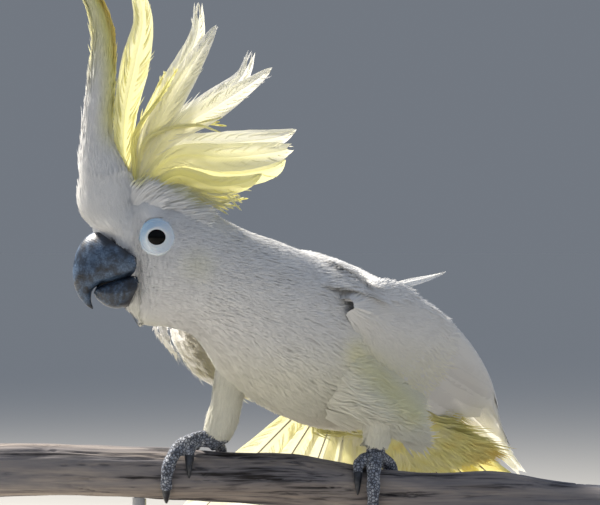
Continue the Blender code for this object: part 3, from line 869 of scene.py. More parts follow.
def strip_sheet(rows: Array, facing: Array, spots: Array, rng: np.random.Generator) -> Sheet:
    """Joins strips that hold two points at each stage and one at the tip.

    Args:
        rows: Points by stage and edge first, then tufts, strips, and x, y and z.
        facing: Normals in the same order.
        spots: Each tuft's place on the unwrap.
        rng: The source of each strip's own shade.

    Returns:
        The sheet.
    """
    stages, tufts, strips, _ = rows.shape
    count = tufts * strips
    points = rows.reshape(stages, count, 3).transpose(1, 0, 2).reshape(-1, 3)
    normals = facing.reshape(stages, count, 3).transpose(1, 0, 2).reshape(-1, 3)
    start = (np.arange(count) * stages)[:, None]
    pairs = (stages - 1) // 2
    quads = np.concatenate([start + 2 * k + np.array([0, 2, 3, 1]) for k in range(pairs - 1)])
    tris = start + np.array([stages - 2, stages - 3, stages - 1])
    along = np.append(np.repeat(np.linspace(0, 0.9, pairs), 2), 1)
    edge = np.append(np.tile([0, 1], pairs), 0.5)
    share = (np.tile(np.arange(strips), tufts)[:, None] + edge) / strips
    patch = np.stack([share - 0.5, np.broadcast_to(along - 0.5, share.shape)], axis=-1) * PATCH
    bake = (np.repeat(spots, strips, axis=0)[:, None, :] + patch).reshape(-1, 2)
    vane = np.stack([np.tile(edge - 0.5, count), np.tile(along, count)], axis=-1)
    own = np.repeat(rng.uniform(0, 1, tufts), strips) * 0.6 + rng.uniform(0, 1, count) * 0.4
    return Sheet(points, quads, tris, bake, vane, yellowness(points), np.repeat(own, stages), normals)


Pick = Callable[[Array, Array], Array]  # from roots and their normals to one answer for each root
Wish = Callable[[Array, Array], tuple[Array, Array]]  # to a direction for each root and how much it counts


def everywhere(points: Array, normals: Array) -> Array:
    """Keeps every root."""
    return np.ones(len(points), bool)


def full_length(points: Array, normals: Array) -> Array:
    """Keeps every tuft's length."""
    return np.ones(len(points))


@dataclass(frozen=True)
class Coat:
    """A stretch of coat on one surface."""

    name: str
    surface: Surface
    low: float
    high: float
    style: TuftStyle
    seed: int
    keep: Pick = everywhere
    stretch: Pick = full_length
    wish: Wish | None = None

    def sheet(self) -> Sheet:
        """Grows the tufts.

        Returns:
            All tufts of the stretch as one sheet.
        """
        rng = np.random.default_rng(self.seed)
        u, v = self.surface.roots(self.low, self.high, self.style.spacing, rng)
        points, normals = self.surface.point(u, v), self.surface.normal(u, v)
        kept = self.keep(points, normals)
        u, v, points, normals = u[kept], v[kept], points[kept], normals[kept]
        ahead = self.surface.flow(u, v)
        if self.wish is not None:
            way, weight = self.wish(points, normals)
            ahead = unit(ahead * (1 - weight[:, None]) + way * weight[:, None])
        calm = Ripple(self.seed, 24).at(points) * self.style.wander
        turn = calm + rng.normal(0, self.style.wander * 0.35, len(u))
        ahead = ahead * np.cos(turn)[:, None] + np.cross(normals, ahead) * np.sin(turn)[:, None]
        factor = self.stretch(points, normals) * rng.uniform(0.82, 1.18, len(u))
        lines = self.surface.trace(u, v, ahead, self.style.length * factor, self.style.steps)
        clump = 1 + 0.22 * Ripple(self.seed + 1, 13).at(points)
        spots = self.surface.spot(u, v)
        return strips_on(lines, spots, self.style, rng, np.clip(clump * np.sqrt(factor), 0.45, 1.5))


@dataclass(frozen=True)
class VaneStyle:
    """Shape of a feather's vane."""

    root: float = 0.45  # width at the root as a share of the full width
    blunt: float = 5  # how blunt the tip is
    rise: float = 0.8  # lift of the tip over the root, mm
    tilt: float = 0.25  # lift of one edge over the other, mm
    ridge: float = 0.22  # height of the shaft, mm
    ragged: float = 0.5  # depth of the nicks in the edge, mm
    roundness: float = 0.16  # how far the normals lean outwards at the edges
    across: int = 9
    along: int = 13

    def width(self, t: Array) -> Array:
        """Share of the full width at t, from 0 at the root to 1 at the tip."""
        grown = self.root + (1 - self.root) * ease(t, 0, 0.42)
        return grown * np.sqrt(np.maximum(1 - np.clip(t, 0, 1) ** self.blunt, 0)) + 0.01


def vanes_on(
    surface: Surface, u: Array, v: Array, turn: Array, length: Array, half: Array, base: Array,
    style: VaneStyle, seed: int,
) -> Sheet:
    """Lays broad white feathers that follow the surface.

    Args:
        surface: The surface they lie on.
        u: First coordinate of each root.
        v: Second coordinate of each root.
        turn: Angle off the lie of the feathers, in radians.
        length: Length of each feather.
        half: Half width of each feather.
        base: Height of each root over the surface.
        style: Their shape.
        seed: Seed of their small differences.

    Returns:
        All of them as one sheet.
    """
    rng = np.random.default_rng(seed)
    normal = surface.normal(u, v)
    flow = surface.flow(u, v)
    ahead = flow * np.cos(turn)[:, None] + np.cross(normal, flow) * np.sin(turn)[:, None]
    lines = surface.trace(u, v, ahead, length, style.along - 1)
    count = len(u)
    t = np.linspace(0, 1, style.along)
    c = np.linspace(-1, 1, style.across)
    side = np.cross(lines.normals, lines.ways)
    grid = np.zeros((style.along, style.across, count, 3))
    facing = np.zeros_like(grid)
    reach = np.zeros((style.along, style.across, count))
    for j, share in enumerate(c):
        ragged = 1 - abs(share) ** 3 * style.ragged * rng.uniform(0, 1, (style.along, count)) / half
        offset = share * half * style.width(t)[:, None] * ragged
        a, b = lines.u, lines.v
        for _ in range(3):
            a, b = surface.step(a, b, side * (offset / 3)[..., None])
            b = np.clip(b, *surface.v_edges)
        n = surface.normal(a, b)
        lift = (base + style.rise * t[:, None] + style.tilt * share
                + style.ridge * math.exp(-((share / 0.16) ** 2)) - 0.25 * share**2)
        grid[:, j] = surface.point(a, b) + n * lift[..., None]
        facing[:, j] = n + side * (style.roundness * share)
        reach[:, j] = offset
    return pack_vanes(grid, facing, reach, length, surface.spot(u, v), rng, t, np.zeros(grid.shape[:3]))


def pack_vanes(
    grid: Array, facing: Array | None, reach: Array, length: Array, spots: Array,
    rng: np.random.Generator, t: Array, yellow: Array,
) -> Sheet:
    """Turns grids of feather points into one sheet.

    Args:
        grid: Points as stages, places across, feathers, and x, y and z.
        facing: Normals in the same order, or none to leave them to the mesh.
        reach: Distance of each point from the shaft, in millimetres.
        length: Length of each feather.
        spots: Each root's place on the unwrap.
        rng: The source of each feather's own shade.
        t: Place of each stage, from 0 to 1.
        yellow: How yellow each point is.

    Returns:
        The sheet. Its Vane map holds distances across and along in decimetres.
    """
    along, across, count, _ = grid.shape
    points = grid.transpose(2, 0, 1, 3).reshape(-1, 3)
    one = grid_sheet(np.zeros((along, across, 3))).quads
    quads = (one[None] + (np.arange(count) * along * across)[:, None, None]).reshape(-1, 4)
    far = np.broadcast_to(t[:, None, None] * length, (along, across, count))
    vane = np.stack([reach, far], axis=-1).transpose(2, 0, 1, 3).reshape(-1, 2) / 100
    u_patch, v_patch = np.meshgrid(t - 0.5, np.linspace(-0.5, 0.5, across), indexing="ij")
    patch = np.stack([v_patch, u_patch], axis=-1).reshape(1, -1, 2) * PATCH
    bake = (spots[:, None, :] + patch).reshape(-1, 2)
    shade = np.repeat(rng.uniform(0, 1, count), along * across)
    tint = np.clip(yellow.transpose(2, 0, 1).reshape(-1), 0, 1)
    normals = None if facing is None else facing.transpose(2, 0, 1, 3).reshape(-1, 3)
    return Sheet(points, quads, bake=bake, vane=vane, tint=tint, shade=shade, normals=normals)


@dataclass(frozen=True)
class Plume:
    """One long free feather: a shaft through space, a web on both sides, and loose barbs along its edges."""

    path: tuple[tuple[float, float, float], ...]  # shaft from root to tip
    half: tuple[float, ...]  # half width at even steps from root to tip
    facing: tuple[float, float, float]  # side it shows
    cup: float = 1.2  # how far its edges bend back, mm
    seed: int = 0
    tint: tuple[float, float] = (0.5, 0.5)  # yellow at root and at tip
    pale_edge: float = 0  # loss of yellow towards the edges
    barbs: int = 46  # loose barbs on each side
    barb_length: float = 15
    fork: float = 0  # how deep the web splits at the tip, as a share of its length
    blunt: float = 9

    stages = 30
    columns = 6  # on each side of the shaft

    def shaft(self, t: Array) -> tuple[Array, Array, Array, Array]:
        """The shaft and its frame.

        Args:
            t: Places from 0 at the root to 1 at the tip.

        Returns:
            Points, directions, sides and normals.
        """
        rows = np.asarray(self.path, float)
        last = len(rows) - 1
        points, ways = curve(rows, t * last), heading(rows, t * last, 0.03)
        normals = np.asarray(self.facing, float)
        normals = unit(normals - ways * (ways @ normals)[:, None])
        return points, ways, np.cross(normals, ways), normals

    def width(self, t: Array) -> Array:
        """Half width at each place."""
        return curve(np.asarray(self.half, float)[:, None], t * (len(self.half) - 1))[..., 0]

    def length(self) -> float:
        """Length of the shaft."""
        points = self.shaft(np.linspace(0, 1, 40))[0]
        return float(np.linalg.norm(np.diff(points, axis=0), axis=1).sum())

    def sheet(self, spot: Array) -> Sheet:
        """Joins web and barbs. Their root has one spot on the unwrap."""
        return Sheet.join([self.web(spot), self.loose(spot)])

    def yellow(self, share: Array, t: Array) -> Array:
        """How yellow the feather is, with faint streaks.

        Args:
            share: Place across, from -1 to 1.
            t: Place along, from 0 to 1.

        Returns:
            Tint numbers.
        """
        root, tip = self.tint
        streak = 0.06 * np.sin(share * 9 + t * 5 + self.seed)
        streak = streak * np.sin(t * 4 + share * 3 + 2 * self.seed)
        return root + (tip - root) * t - self.pale_edge * np.abs(share) ** 1.6 + streak

    def web(self, spot: Array) -> Sheet:
        """The closed part of the feather, one half on each side of the shaft.

        Args:
            spot: The root's place on the unwrap.

        Returns:
            The web.
        """
        rng = np.random.default_rng(self.seed)
        t = np.linspace(0, 1, self.stages)[:, None]
        points, _, side, normals = self.shaft(t[:, 0])
        close = np.sqrt(np.clip(1 - t**self.blunt, 0, 1))
        split = ease(t, 1 - self.fork, 1) if self.fork else np.zeros_like(t)
        full = self.width(t[:, 0])[:, None]
        places, grids = [], []
        for sign in (-1, 1):
            c = np.linspace(0, 1, self.columns)[:: int(sign)]
            inner, outer = 0.6 * split, 1 - 0.1 * split
            middle = (inner + outer) / 2 * np.where(split > 0, 1, close)
            place = sign * (middle + (2 * c - 1) * (outer - inner) / 2 * close)
            nick = 1 - 0.05 * rng.uniform(0, 1, t.shape) * np.abs(place) ** 6
            reach = full * place * nick + 0.1 * sign * c
            wave = 0.5 * np.sin(place * 4 + t * 9 + self.seed) * np.abs(place)
            lift = 0.3 * np.exp(-((place / 0.12) ** 2)) - self.cup * place**2
            lift = (lift + wave * np.minimum(full / 8, 1))[..., None]
            places.append(np.stack([place, reach], axis=-1))
            grids.append(points[:, None] + side[:, None] * reach[..., None] + normals[:, None] * lift)
        place, reach = np.moveaxis(np.stack(places, axis=2), -1, 0)
        grid = np.stack(grids, axis=2)
        yellow = self.yellow(place, t[..., None])
        spots = np.tile(np.asarray(spot), (2, 1))
        return pack_vanes(grid, None, reach, np.full(2, self.length()), spots, rng, t[:, 0], yellow)

    def loose(self, spot: Array) -> Sheet:
        """The barbs that stand free of both edges and of the tip.

        Args:
            spot: The root's place on the unwrap.

        Returns:
            The barbs, as narrow pointed strips.
        """
        rng = np.random.default_rng(self.seed + 77)
        count = 2 * self.barbs
        start = np.sort(rng.uniform(0.02, 0.97, count))
        sign = np.where(np.arange(count) % 2 == 0, -1, 1)
        points, ways, side, normals = self.shaft(start)
        half = self.width(start)
        long = self.barb_length * rng.uniform(0.6, 1.25, count) * np.clip(1.15 - start * 0.35, 0.5, 1.1)
        ends = np.clip(start + long / self.length() * 0.9, 0, 1)
        end_points, end_ways, end_side, _ = self.shaft(ends)
        over = long - np.minimum((ends - start) * self.length(), long)
        end_half = self.width(ends) * np.sqrt(np.clip(1 - ends**9, 0, 1))
        stray = (rng.uniform(size=count) < 0.12) * rng.uniform(0.4, 2.2, count)
        out = np.maximum(end_half + rng.uniform(-1.2, 0.1, count), 0.1) + stray
        stages = 4
        rows, facing = [], []
        lift = rng.uniform(-0.3, 0.4, count)
        for k in range(stages + 1):
            s = k / stages
            base = points * (1 - s) + end_points * s
            aside = sign * (half * 0.35 * (1 - s) + out * s**0.8)
            here = base + (side * (1 - s) + end_side * s) * aside[:, None]
            here = here + end_ways * (over * 0.1 * s**2)[:, None]
            here = here + normals * (lift * s - self.cup * 0.9 * s)[:, None]
            beside = unit(np.cross(normals, unit(ways * (1 - s) + end_ways * s)))
            half_strip = 0.36 * (1, 1, 0.85, 0.6, 0)[k]
            if k < stages:
                rows += [here - beside * half_strip, here + beside * half_strip]
                facing += [normals, normals]
            else:
                rows.append(here)
                facing.append(normals)
        spots = np.repeat(np.asarray(spot)[None], count, axis=0)
        made = strip_sheet(np.array(rows)[:, :, None], np.array(facing)[:, :, None], spots, rng)
        share = np.repeat(sign * 0.8, 2 * stages + 1)
        made.tint = np.clip(self.yellow(share, np.repeat(ends, 2 * stages + 1)), 0, 1)
        return made


# ---- finishes ----
def linear(code: str, alpha: float = 1) -> tuple[float, float, float, float]:
    """Turns an sRGB hex colour to linear light.

    Args:
        code: The colour, such as "#F6F5F2".
        alpha: Its alpha.

    Returns:
        Linear red, green, blue and alpha.
    """
    parts = [int(code.lstrip("#")[i : i + 2], 16) / 255 for i in (0, 2, 4)]
    low, high = [p / 12.92 for p in parts], [((p + 0.055) / 1.055) ** 2.4 for p in parts]
    red, green, blue = (h if p > 0.04045 else s for p, s, h in zip(parts, low, high))
    return red, green, blue, alpha


Inputs = dict[str | int, object]
AddNode = Callable[..., bpy.types.Node]


def add_node(
    tree: bpy.types.NodeTree, kind: str, inputs: Inputs | None = None, **settings: object
) -> bpy.types.Node:
    """Adds a shader node with its settings and links.

    Args:
        tree: The material's or the world's nodes.
        kind: The node's type, without the ShaderNode that all types start with.
        inputs: Value of each input, its sRGB hex colour, or the node or output that feeds it.
        settings: The node's own settings.

    Returns:
        The new node.
    """
    node = tree.nodes.new("ShaderNode" + kind)
    for name, value in settings.items():
        setattr(node, name, value)
    for name, value in (inputs or {}).items():
        if isinstance(value, str):
            value = linear(value)
        if isinstance(value, bpy.types.Node):
            value = next(out for out in value.outputs if out.enabled)
        if isinstance(value, bpy.types.NodeSocket):
            tree.links.new(value, node.inputs[name])
        else:
            node.inputs[name].default_value = value
    return node


@dataclass(frozen=True)
class Finish:
    """A finish. Each kind adds its colour, its relief and its gloss."""

    name: str

    def dress(self, add: AddNode) -> bpy.types.Node:
        """Adds the finish's nodes with add and gives its shader."""
        raise NotImplementedError

    def build(self) -> bpy.types.Material:
        """Makes the material.

        Returns:
            The material, with the finish's nodes.
        """
        material = bpy.data.materials.new(self.name)
        material.use_nodes = True
        material.node_tree.nodes.clear()
        add = partial(add_node, material.node_tree)
        add("OutputMaterial", {"Surface": self.dress(add)})
        return material


@dataclass(frozen=True)
class FeatherKeratin(Finish):
    """Unpigmented keratin barbs: soft matt white, and a warm glow where thin vanes are lit from behind.

    Yellow comes from the same marking as on the skin. Barbs are about 0.7 mm apart in a real vane, too fine
    to show, so they are drawn at 1.4 mm.
    """

    through: float = 0.2  # share of light that passes the vane
    white: str = "#F6F5F2"
    lemon: str = "#F8F3A6"
    deep: str = "#F2C417"
    shadow: str = "#E3E3E4"
    barb: float = 1.4  # mm
    relief: float = 0.25
    slant: float = -1.7  # of the barbs: their run along the vane over their run across it

    def dress(self, add: AddNode) -> bpy.types.Node:
        """Adds white to yellow by the tint numbers, with barbs drawn on the Vane map.

        Args:
            add: Adds one node.

        Returns:
            The shader.
        """
        tint = add("Attribute", attribute_name="tint").outputs["Fac"]
        shade = add("Attribute", attribute_name="shade").outputs["Fac"]
        weak = add("MapRange", {0: tint, 1: 0, 2: 0.5})
        strong = add("MapRange", {0: tint, 1: 0.5, 2: 1})
        pale = add("Mix", {0: weak, 6: self.white, 7: self.lemon}, data_type="RGBA")
        full = add("Mix", {0: strong, 6: pale, 7: self.deep}, data_type="RGBA")
        dim = add("Math", {0: shade, 1: 0.5}, operation="MULTIPLY")
        shaded = {0: dim, 6: full, 7: self.shadow}
        colour = add("Mix", shaded, data_type="RGBA", blend_type="MULTIPLY")
        vane = add("UVMap", uv_map="Vane")
        split = add("SeparateXYZ", {0: vane})
        aside = add("Math", {0: split.outputs["X"]}, operation="ABSOLUTE")
        run = add("Math", {0: aside, 1: self.slant, 2: split.outputs["Y"]}, operation="MULTIPLY_ADD")
        turn = add("Math", {0: run, 1: TURN * 100 / self.barb}, operation="MULTIPLY")
        line = add("Math", {0: turn}, operation="SINE")
        noise = add("TexNoise", {"Vector": vane, "Scale": 28, "Detail": 2})
        height = add("Math", {0: line, 1: 0.35, 2: noise}, operation="MULTIPLY_ADD")
        bump = add("Bump", {"Height": height, "Strength": self.relief, "Distance": 0.0004})
        body = add("BsdfPrincipled", {
            "Base Color": colour, "Roughness": 0.78, "Normal": bump, "Sheen Weight": 0.12,
            "Sheen Roughness": 0.5, "Specular IOR Level": 0.25})
        glow = add("BsdfTranslucent", {"Color": colour, "Normal": bump})
        return add("MixShader", {0: self.through, 1: body, 2: glow})


@dataclass(frozen=True)
class DownySkin(Finish):
    """Skin under the coat with down on it: matt, in the coat's own white and yellow but a little darker."""

    white: str = "#DCDCDC"
    lemon: str = "#E6E08E"

    def dress(self, add: AddNode) -> bpy.types.Node:
        """Adds the marking, and down in flecks of about 2.4 mm.

        Args:
            add: Adds one node.

        Returns:
            The shader.
        """
        tint = add("Attribute", attribute_name="tint").outputs["Fac"]
        weak = add("MapRange", {0: tint, 1: 0, 2: 0.5})
        colour = add("Mix", {0: weak, 6: self.white, 7: self.lemon}, data_type="RGBA")
        place = add("TexCoord").outputs["Object"]
        down = add("TexNoise", {"Vector": place, "Scale": 420, "Detail": 3})
        bump = add("Bump", {"Height": down, "Strength": 0.35, "Distance": 0.0006})
        return add("BsdfPrincipled", {
            "Base Color": colour, "Roughness": 0.85, "Normal": bump, "Specular IOR Level": 0.2})


@dataclass(frozen=True)
class BareSkin(Finish):
    """Bare skin round the eye: pale blue-grey, softly waxy, and bluer in its creases, 0.75 mm apart."""

    light: str = "#E0E5E8"
    crease: str = "#A6CCE9"

    def dress(self, add: AddNode) -> bpy.types.Node:
        """Adds the blue of the creases and a fine grain of about 1.1 mm.

        Args:
            add: Adds one node.

        Returns:
            The shader.
        """
        depth = add("Attribute", attribute_name="tint").outputs["Fac"]
        place = add("TexCoord").outputs["Object"]
        grain = add("TexNoise", {"Vector": place, "Scale": 900, "Detail": 3})
        spread = add("MapRange", {0: grain, 3: -0.25, 4: 0.25})
        share = add("Math", {0: depth, 1: spread}, operation="ADD", use_clamp=True)
        colour = add("Mix", {0: share, 6: self.light, 7: self.crease}, data_type="RGBA")
        bump = add("Bump", {"Height": grain, "Strength": 0.3, "Distance": 0.0002})
        return add("BsdfPrincipled", {
            "Base Color": colour, "Roughness": 0.55, "Normal": bump, "Subsurface Weight": 0.15,
            "Subsurface Radius": (0.002, 0.001, 0.0008), "Subsurface Scale": 1})


@dataclass(frozen=True)
class BillHorn(Finish):
    """Layered horn with powder down on it: slate to black, bloomed grey-blue in blots of about 6 mm."""

    dark: str = "#141922"
    slate: str = "#324963"
    bloom: str = "#7186A0"

    def dress(self, add: AddNode) -> bpy.types.Node:
        """Adds the mottling, the powder and the dark border.

        Args:
            add: Adds one node.

        Returns:
            The shader.
        """
        depth = add("Attribute", attribute_name="tint").outputs["Fac"]
        place = add("TexCoord").outputs["Object"]
        cloud = add("TexNoise", {"Vector": place, "Scale": 170, "Detail": 6, "Roughness": 0.65})
        fine = add("TexNoise", {"Vector": place, "Scale": 1100, "Detail": 3})
        patch = add("MapRange", {0: cloud, 1: 0.34, 2: 0.6})
        base = add("Mix", {0: patch, 6: self.dark, 7: self.slate}, data_type="RGBA")
        blot = add("MapRange", {0: cloud, 1: 0.42, 2: 0.74, 4: 0.9})
        grain = add("MapRange", {0: fine, 1: 0.36, 2: 0.66})
        powder = add("Math", {0: blot, 1: grain}, operation="MULTIPLY")
        bloomed = add("Mix", {0: powder, 6: base, 7: self.bloom}, data_type="RGBA")
        colour = add("Mix", {0: depth, 6: bloomed, 7: self.dark}, data_type="RGBA")
        rough = add("MapRange", {0: powder, 3: 0.38, 4: 0.7})
        height = add("Math", {0: fine, 1: 0.5, 2: cloud}, operation="MULTIPLY_ADD")
        bump = add("Bump", {"Height": height, "Strength": 0.4, "Distance": 0.0004})
        return add("BsdfPrincipled", {
            "Base Color": colour, "Roughness": rough, "Normal": bump, "IOR": 1.54})


@dataclass(frozen=True)
class Smooth(Finish):
    """A plain smooth surface, such as the wet eye, polished claw horn, ground steel or matt paint."""

    colour: str = "#808080"
    rough: float = 0.5
    metal: float = 0
    shine: float = 0.5  # specular level
    grain: float = 0  # width of a faint mottling, mm
    second: str = "#808080"

    def dress(self, add: AddNode) -> bpy.types.Node:
        """Adds one colour, or two where it has a grain.

        Args:
            add: Adds one node.

        Returns:
            The shader.
        """
        inputs: Inputs = {
            "Base Color": self.colour, "Roughness": self.rough, "Metallic": self.metal,
            "Specular IOR Level": self.shine}
        if self.grain:
            place = add("TexCoord").outputs["Object"]
            noise = add("TexNoise", {"Vector": place, "Scale": 1 / (self.grain * MM), "Detail": 4})
            share = add("MapRange", {0: noise, 1: 0.35, 2: 0.65})
            ends = {6: self.colour, 7: self.second}
            inputs["Base Color"] = add("Mix", {0: share, **ends}, data_type="RGBA").outputs[2]
        return add("BsdfPrincipled", inputs)


@dataclass(frozen=True)
class ScaledSkin(Finish):
    """Dry scaled skin of the feet: small raised plates, slate grey with a chalky bloom on top."""

    plate: str = "#858C9A"
    groove: str = "#2C303A"
    chalk: str = "#C8CBD0"
    scale: float = 1.9  # between the middles of neighbouring plates, mm

    def dress(self, add: AddNode) -> bpy.types.Node:
        """Adds the plates, their grooves and the bloom.

        Args:
            add: Adds one node.

        Returns:
            The shader.
        """
        place = add("TexCoord").outputs["Object"]
        plates = {"Vector": place, "Scale": 1 / (self.scale * MM)}
        cells = add("TexVoronoi", plates, feature="DISTANCE_TO_EDGE")
        fine = add("TexNoise", {"Vector": place, "Scale": 260, "Detail": 4})
        plate = add("MapRange", {0: cells.outputs["Distance"], 1: 0.02, 2: 0.22})
        base = add("Mix", {0: plate, 6: self.groove, 7: self.plate}, data_type="RGBA")
        bloom = add("MapRange", {0: fine, 1: 0.46, 2: 0.68})
        chalky = add("Math", {0: bloom, 1: plate}, operation="MULTIPLY")
        colour = add("Mix", {0: chalky, 6: base, 7: self.chalk}, data_type="RGBA")
        bump = add("Bump", {"Height": plate, "Strength": 0.7, "Distance": 0.00045})
        return add("BsdfPrincipled", {"Base Color": colour, "Roughness": 0.72, "Normal": bump})


@dataclass(frozen=True)
class Timber(Finish):
    """Wood with its grain along X: long streaks, drying cracks and a weathered or stained tone."""

    light: str = "#A99D91"
    mid: str = "#6A6362"
    crack: str = "#1E1A19"
    broad: str = "#565B68"  # of wide blots
    rough: float = 0.88
    coat: float = 0
    streak: float = 3.2  # width of a grain streak, mm
    stretch: float = 16  # its length over its width
    relief: float = 0.8

    def dress(self, add: AddNode) -> bpy.types.Node:
        """Adds the grain, the wide blots and the cracks.

        Args:
            add: Adds one node.

        Returns:
            The shader.
        """
        object_place = add("TexCoord").outputs["Object"]
        place = add("Mapping", {"Vector": object_place, "Scale": (1 / self.stretch, 1, 1)})
        scale = 1 / (self.streak * MM * 2)
        warp = add("TexNoise", {"Vector": place, "Scale": scale * 0.4, "Detail": 2}).outputs["Color"]
        bent = add("Mix", {0: 0.01, 4: place, 5: warp}, data_type="VECTOR")
        grain = add("TexNoise", {"Vector": bent, "Scale": scale, "Detail": 7, "Roughness": 0.62})
        fine = add("TexNoise", {"Vector": bent, "Scale": scale * 5, "Detail": 4})
        blots = add("TexNoise", {"Vector": place, "Scale": scale * 0.3, "Detail": 3})
        thirds = add("Math", {0: fine, 1: 0.3}, operation="MULTIPLY")
        share = add("Math", {0: grain, 1: 0.7, 2: thirds}, operation="MULTIPLY_ADD")
        streaks = add("MapRange", {0: share, 1: 0.38, 2: 0.62})
        base = add("Mix", {0: streaks, 6: self.mid, 7: self.light}, data_type="RGBA")
        wide = add("MapRange", {0: blots, 1: 0.42, 2: 0.62, 4: 0.8})
        stained = add("Mix", {0: wide, 6: base, 7: self.broad}, data_type="RGBA")
        gaps = add("MapRange", {0: share, 1: 0.46, 2: 0.37})
        colour = add("Mix", {0: gaps, 6: stained, 7: self.crack}, data_type="RGBA")
        bump = add("Bump", {"Height": share, "Strength": self.relief, "Distance": 0.0012})
        return add("BsdfPrincipled", {
            "Base Color": colour, "Roughness": self.rough, "Normal": bump, "Coat Weight": self.coat,
            "Coat Roughness": 0.25})


class Slot(Enum):
    """The record's material slots."""

    WHITE = "white_plumage"
    YELLOW = "yellow_plumage"
    BILL = "bill_horn"
    EYE = "eye"
    SKIN = "bare_skin"
    FOOT = "foot_scale"
    CLAW = "claw_horn"
    BRANCH = "weathered_branch"
    WOOD = "stand_wood"
    STEEL = "stand_steel"


@dataclass(frozen=True)
class Palette:
    """Every finish of the model."""

    white: Finish = FeatherKeratin("white_feather_keratin", through=0.16)
    flight: Finish = FeatherKeratin("flight_feather_keratin", through=0.24)
    thin: Finish = FeatherKeratin("thin_flight_feather_keratin", through=0.8)
    plume: Finish = FeatherKeratin("crest_feather_keratin", through=0.52)
    fan: Finish = FeatherKeratin("tail_feather_keratin", through=0.52)
    # The shafts' grey-brown is partly painted shade, for the dark lines that shafts make in backlit webs.
    shaft: Finish = Smooth("shaft_horn_and_painted_shade", "#8C8474", 0.5)
    down: Finish = DownySkin("downy_skin")
    ring: Finish = BareSkin("bare_eye_skin")
    horn: Finish = BillHorn("powdered_bill_horn")
    eye: Finish = Smooth("wet_dark_eye", "#020202", 0.16, shine=0.12)
    mouth: Finish = Smooth("dark_mouth_skin", "#0E0B0D", 0.5)
    foot: Finish = ScaledSkin("dry_scaled_skin")
    claw: Finish = Smooth("polished_claw_horn", "#1B1D22", 0.32, grain=2.5, second="#3A3D44")
    branch: Finish = Timber("weathered_eucalypt_wood")
    stained: Finish = Timber(
        "satin_stained_hardwood", "#4A3325", "#2E1E15", "#1A100B", "#2E1E15",
        rough=0.42, coat=0.2, streak=1.6, stretch=22, relief=0.15)
    steel: Finish = Smooth("satin_ground_steel", "#A6A8AB", 0.34, metal=1)
    floor: Finish = Smooth("matt_studio_floor", FLOOR_COLOUR, 1, shine=0)

    def build(self) -> Materials:
        """Makes every material, by the name of its field."""
        return {name: getattr(self, name).build() for name in self.__dataclass_fields__}


def settle(made: bpy.types.Object, slot: Slot, *nodes: str) -> bpy.types.Object:
    """Fixes a piece to the body and reports it.

    Args:
        made: The piece.
        slot: The record's slot of its finish. Not used.
        nodes: Nodes of the frame that it stands for.

    Returns:
        The same piece.
    """
    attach(made, BODY)
    if nodes:
        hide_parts(*nodes)
    LOG.info("%s: %d faces, stands for %s", made.name, len(made.data.polygons), ", ".join(nodes) or "no node")
    return made


# ---- skin and coat ----
BODYFORM = BodySurface()
COLUMN = ColumnSurface()
LEGS = {side: LegSurface(side) for side in ("left", "right")}
WINGS = {side: WingSurface(side) for side in ("left", "right")}
EYE_PLACE = np.array([-79.3, 133.5])  # x and z
RING_REACH = 8.7  # radius of the bare skin round the eye, mm
THIGH_TOP = 40  # height where the left leg goes in under the flank, mm
# Edge of the plumage at the bill, from the chin up to the forehead: z, x.
BILL_EDGE = (
    (81, -86),
    (89, -98),
    (96, -98),
    (102, -93),
    (116, -92),
    (124, -93),
    (132, -104),
    (141, -124),
)
# Lines of feathers on the side of the forehead, from the front back: x and z of their start and of their end.
BROW = (
    (-118, 139, -117, 160),
    (-112, 134, -113, 160),
    (-104, 129, -108.5, 160),
    (-97, 126, -104, 161),
    (-92, 130, -99.5, 162),
    (-88.5, 142, -95, 163),
    (-82, 145, -89, 160),
    (-75, 146, -83, 158),
)
# The flank's feathers over the left thigh, from the top row down: places in space.
FLANK = (
    ((22, -35, 84), (38, -10, 80), (54, 22, 70), (74, 76, 56)),
    ((20, -37, 68), (37, -24, 63), (54, 6, 54), (74, 60, 41)),
    ((16, -24.5, 48), (35, -25, 45), (54, -13, 37), (72, 24, 29)),
    ((14, -12.5, 35), (36, -19, 32), (54, -10, 26), (74, 28, 20)),
    ((14, 1, 28), (40, -7, 24), (57, 3, 19), (76, 38, 13)),
)


def brow(mirror: bool) -> PatchSurface:
    """Fills the groove between head and crest.

    Args:
        mirror: Puts the patch on the far side of the head.

    Returns:
        The patch. It lies on both forms and rounds the corner between them.
    """
    soft = 2.4  # mm
    rows = []
    for x0, z0, x1, z1 in BROW:
        share = np.linspace(0, 1, 6)
        x, z = x0 + (x1 - x0) * share, z0 + (z1 - z0) * share
        both = np.logaddexp(-BODYFORM.side_y(x, z) / soft, -COLUMN.side_y(x, z) / soft)
        y = -soft * both
        rows.append(np.stack([x, 2 * MIDPLANE - y if mirror else y, z], axis=-1))
    return PatchSurface(rows, (-100, MIDPLANE, 140))


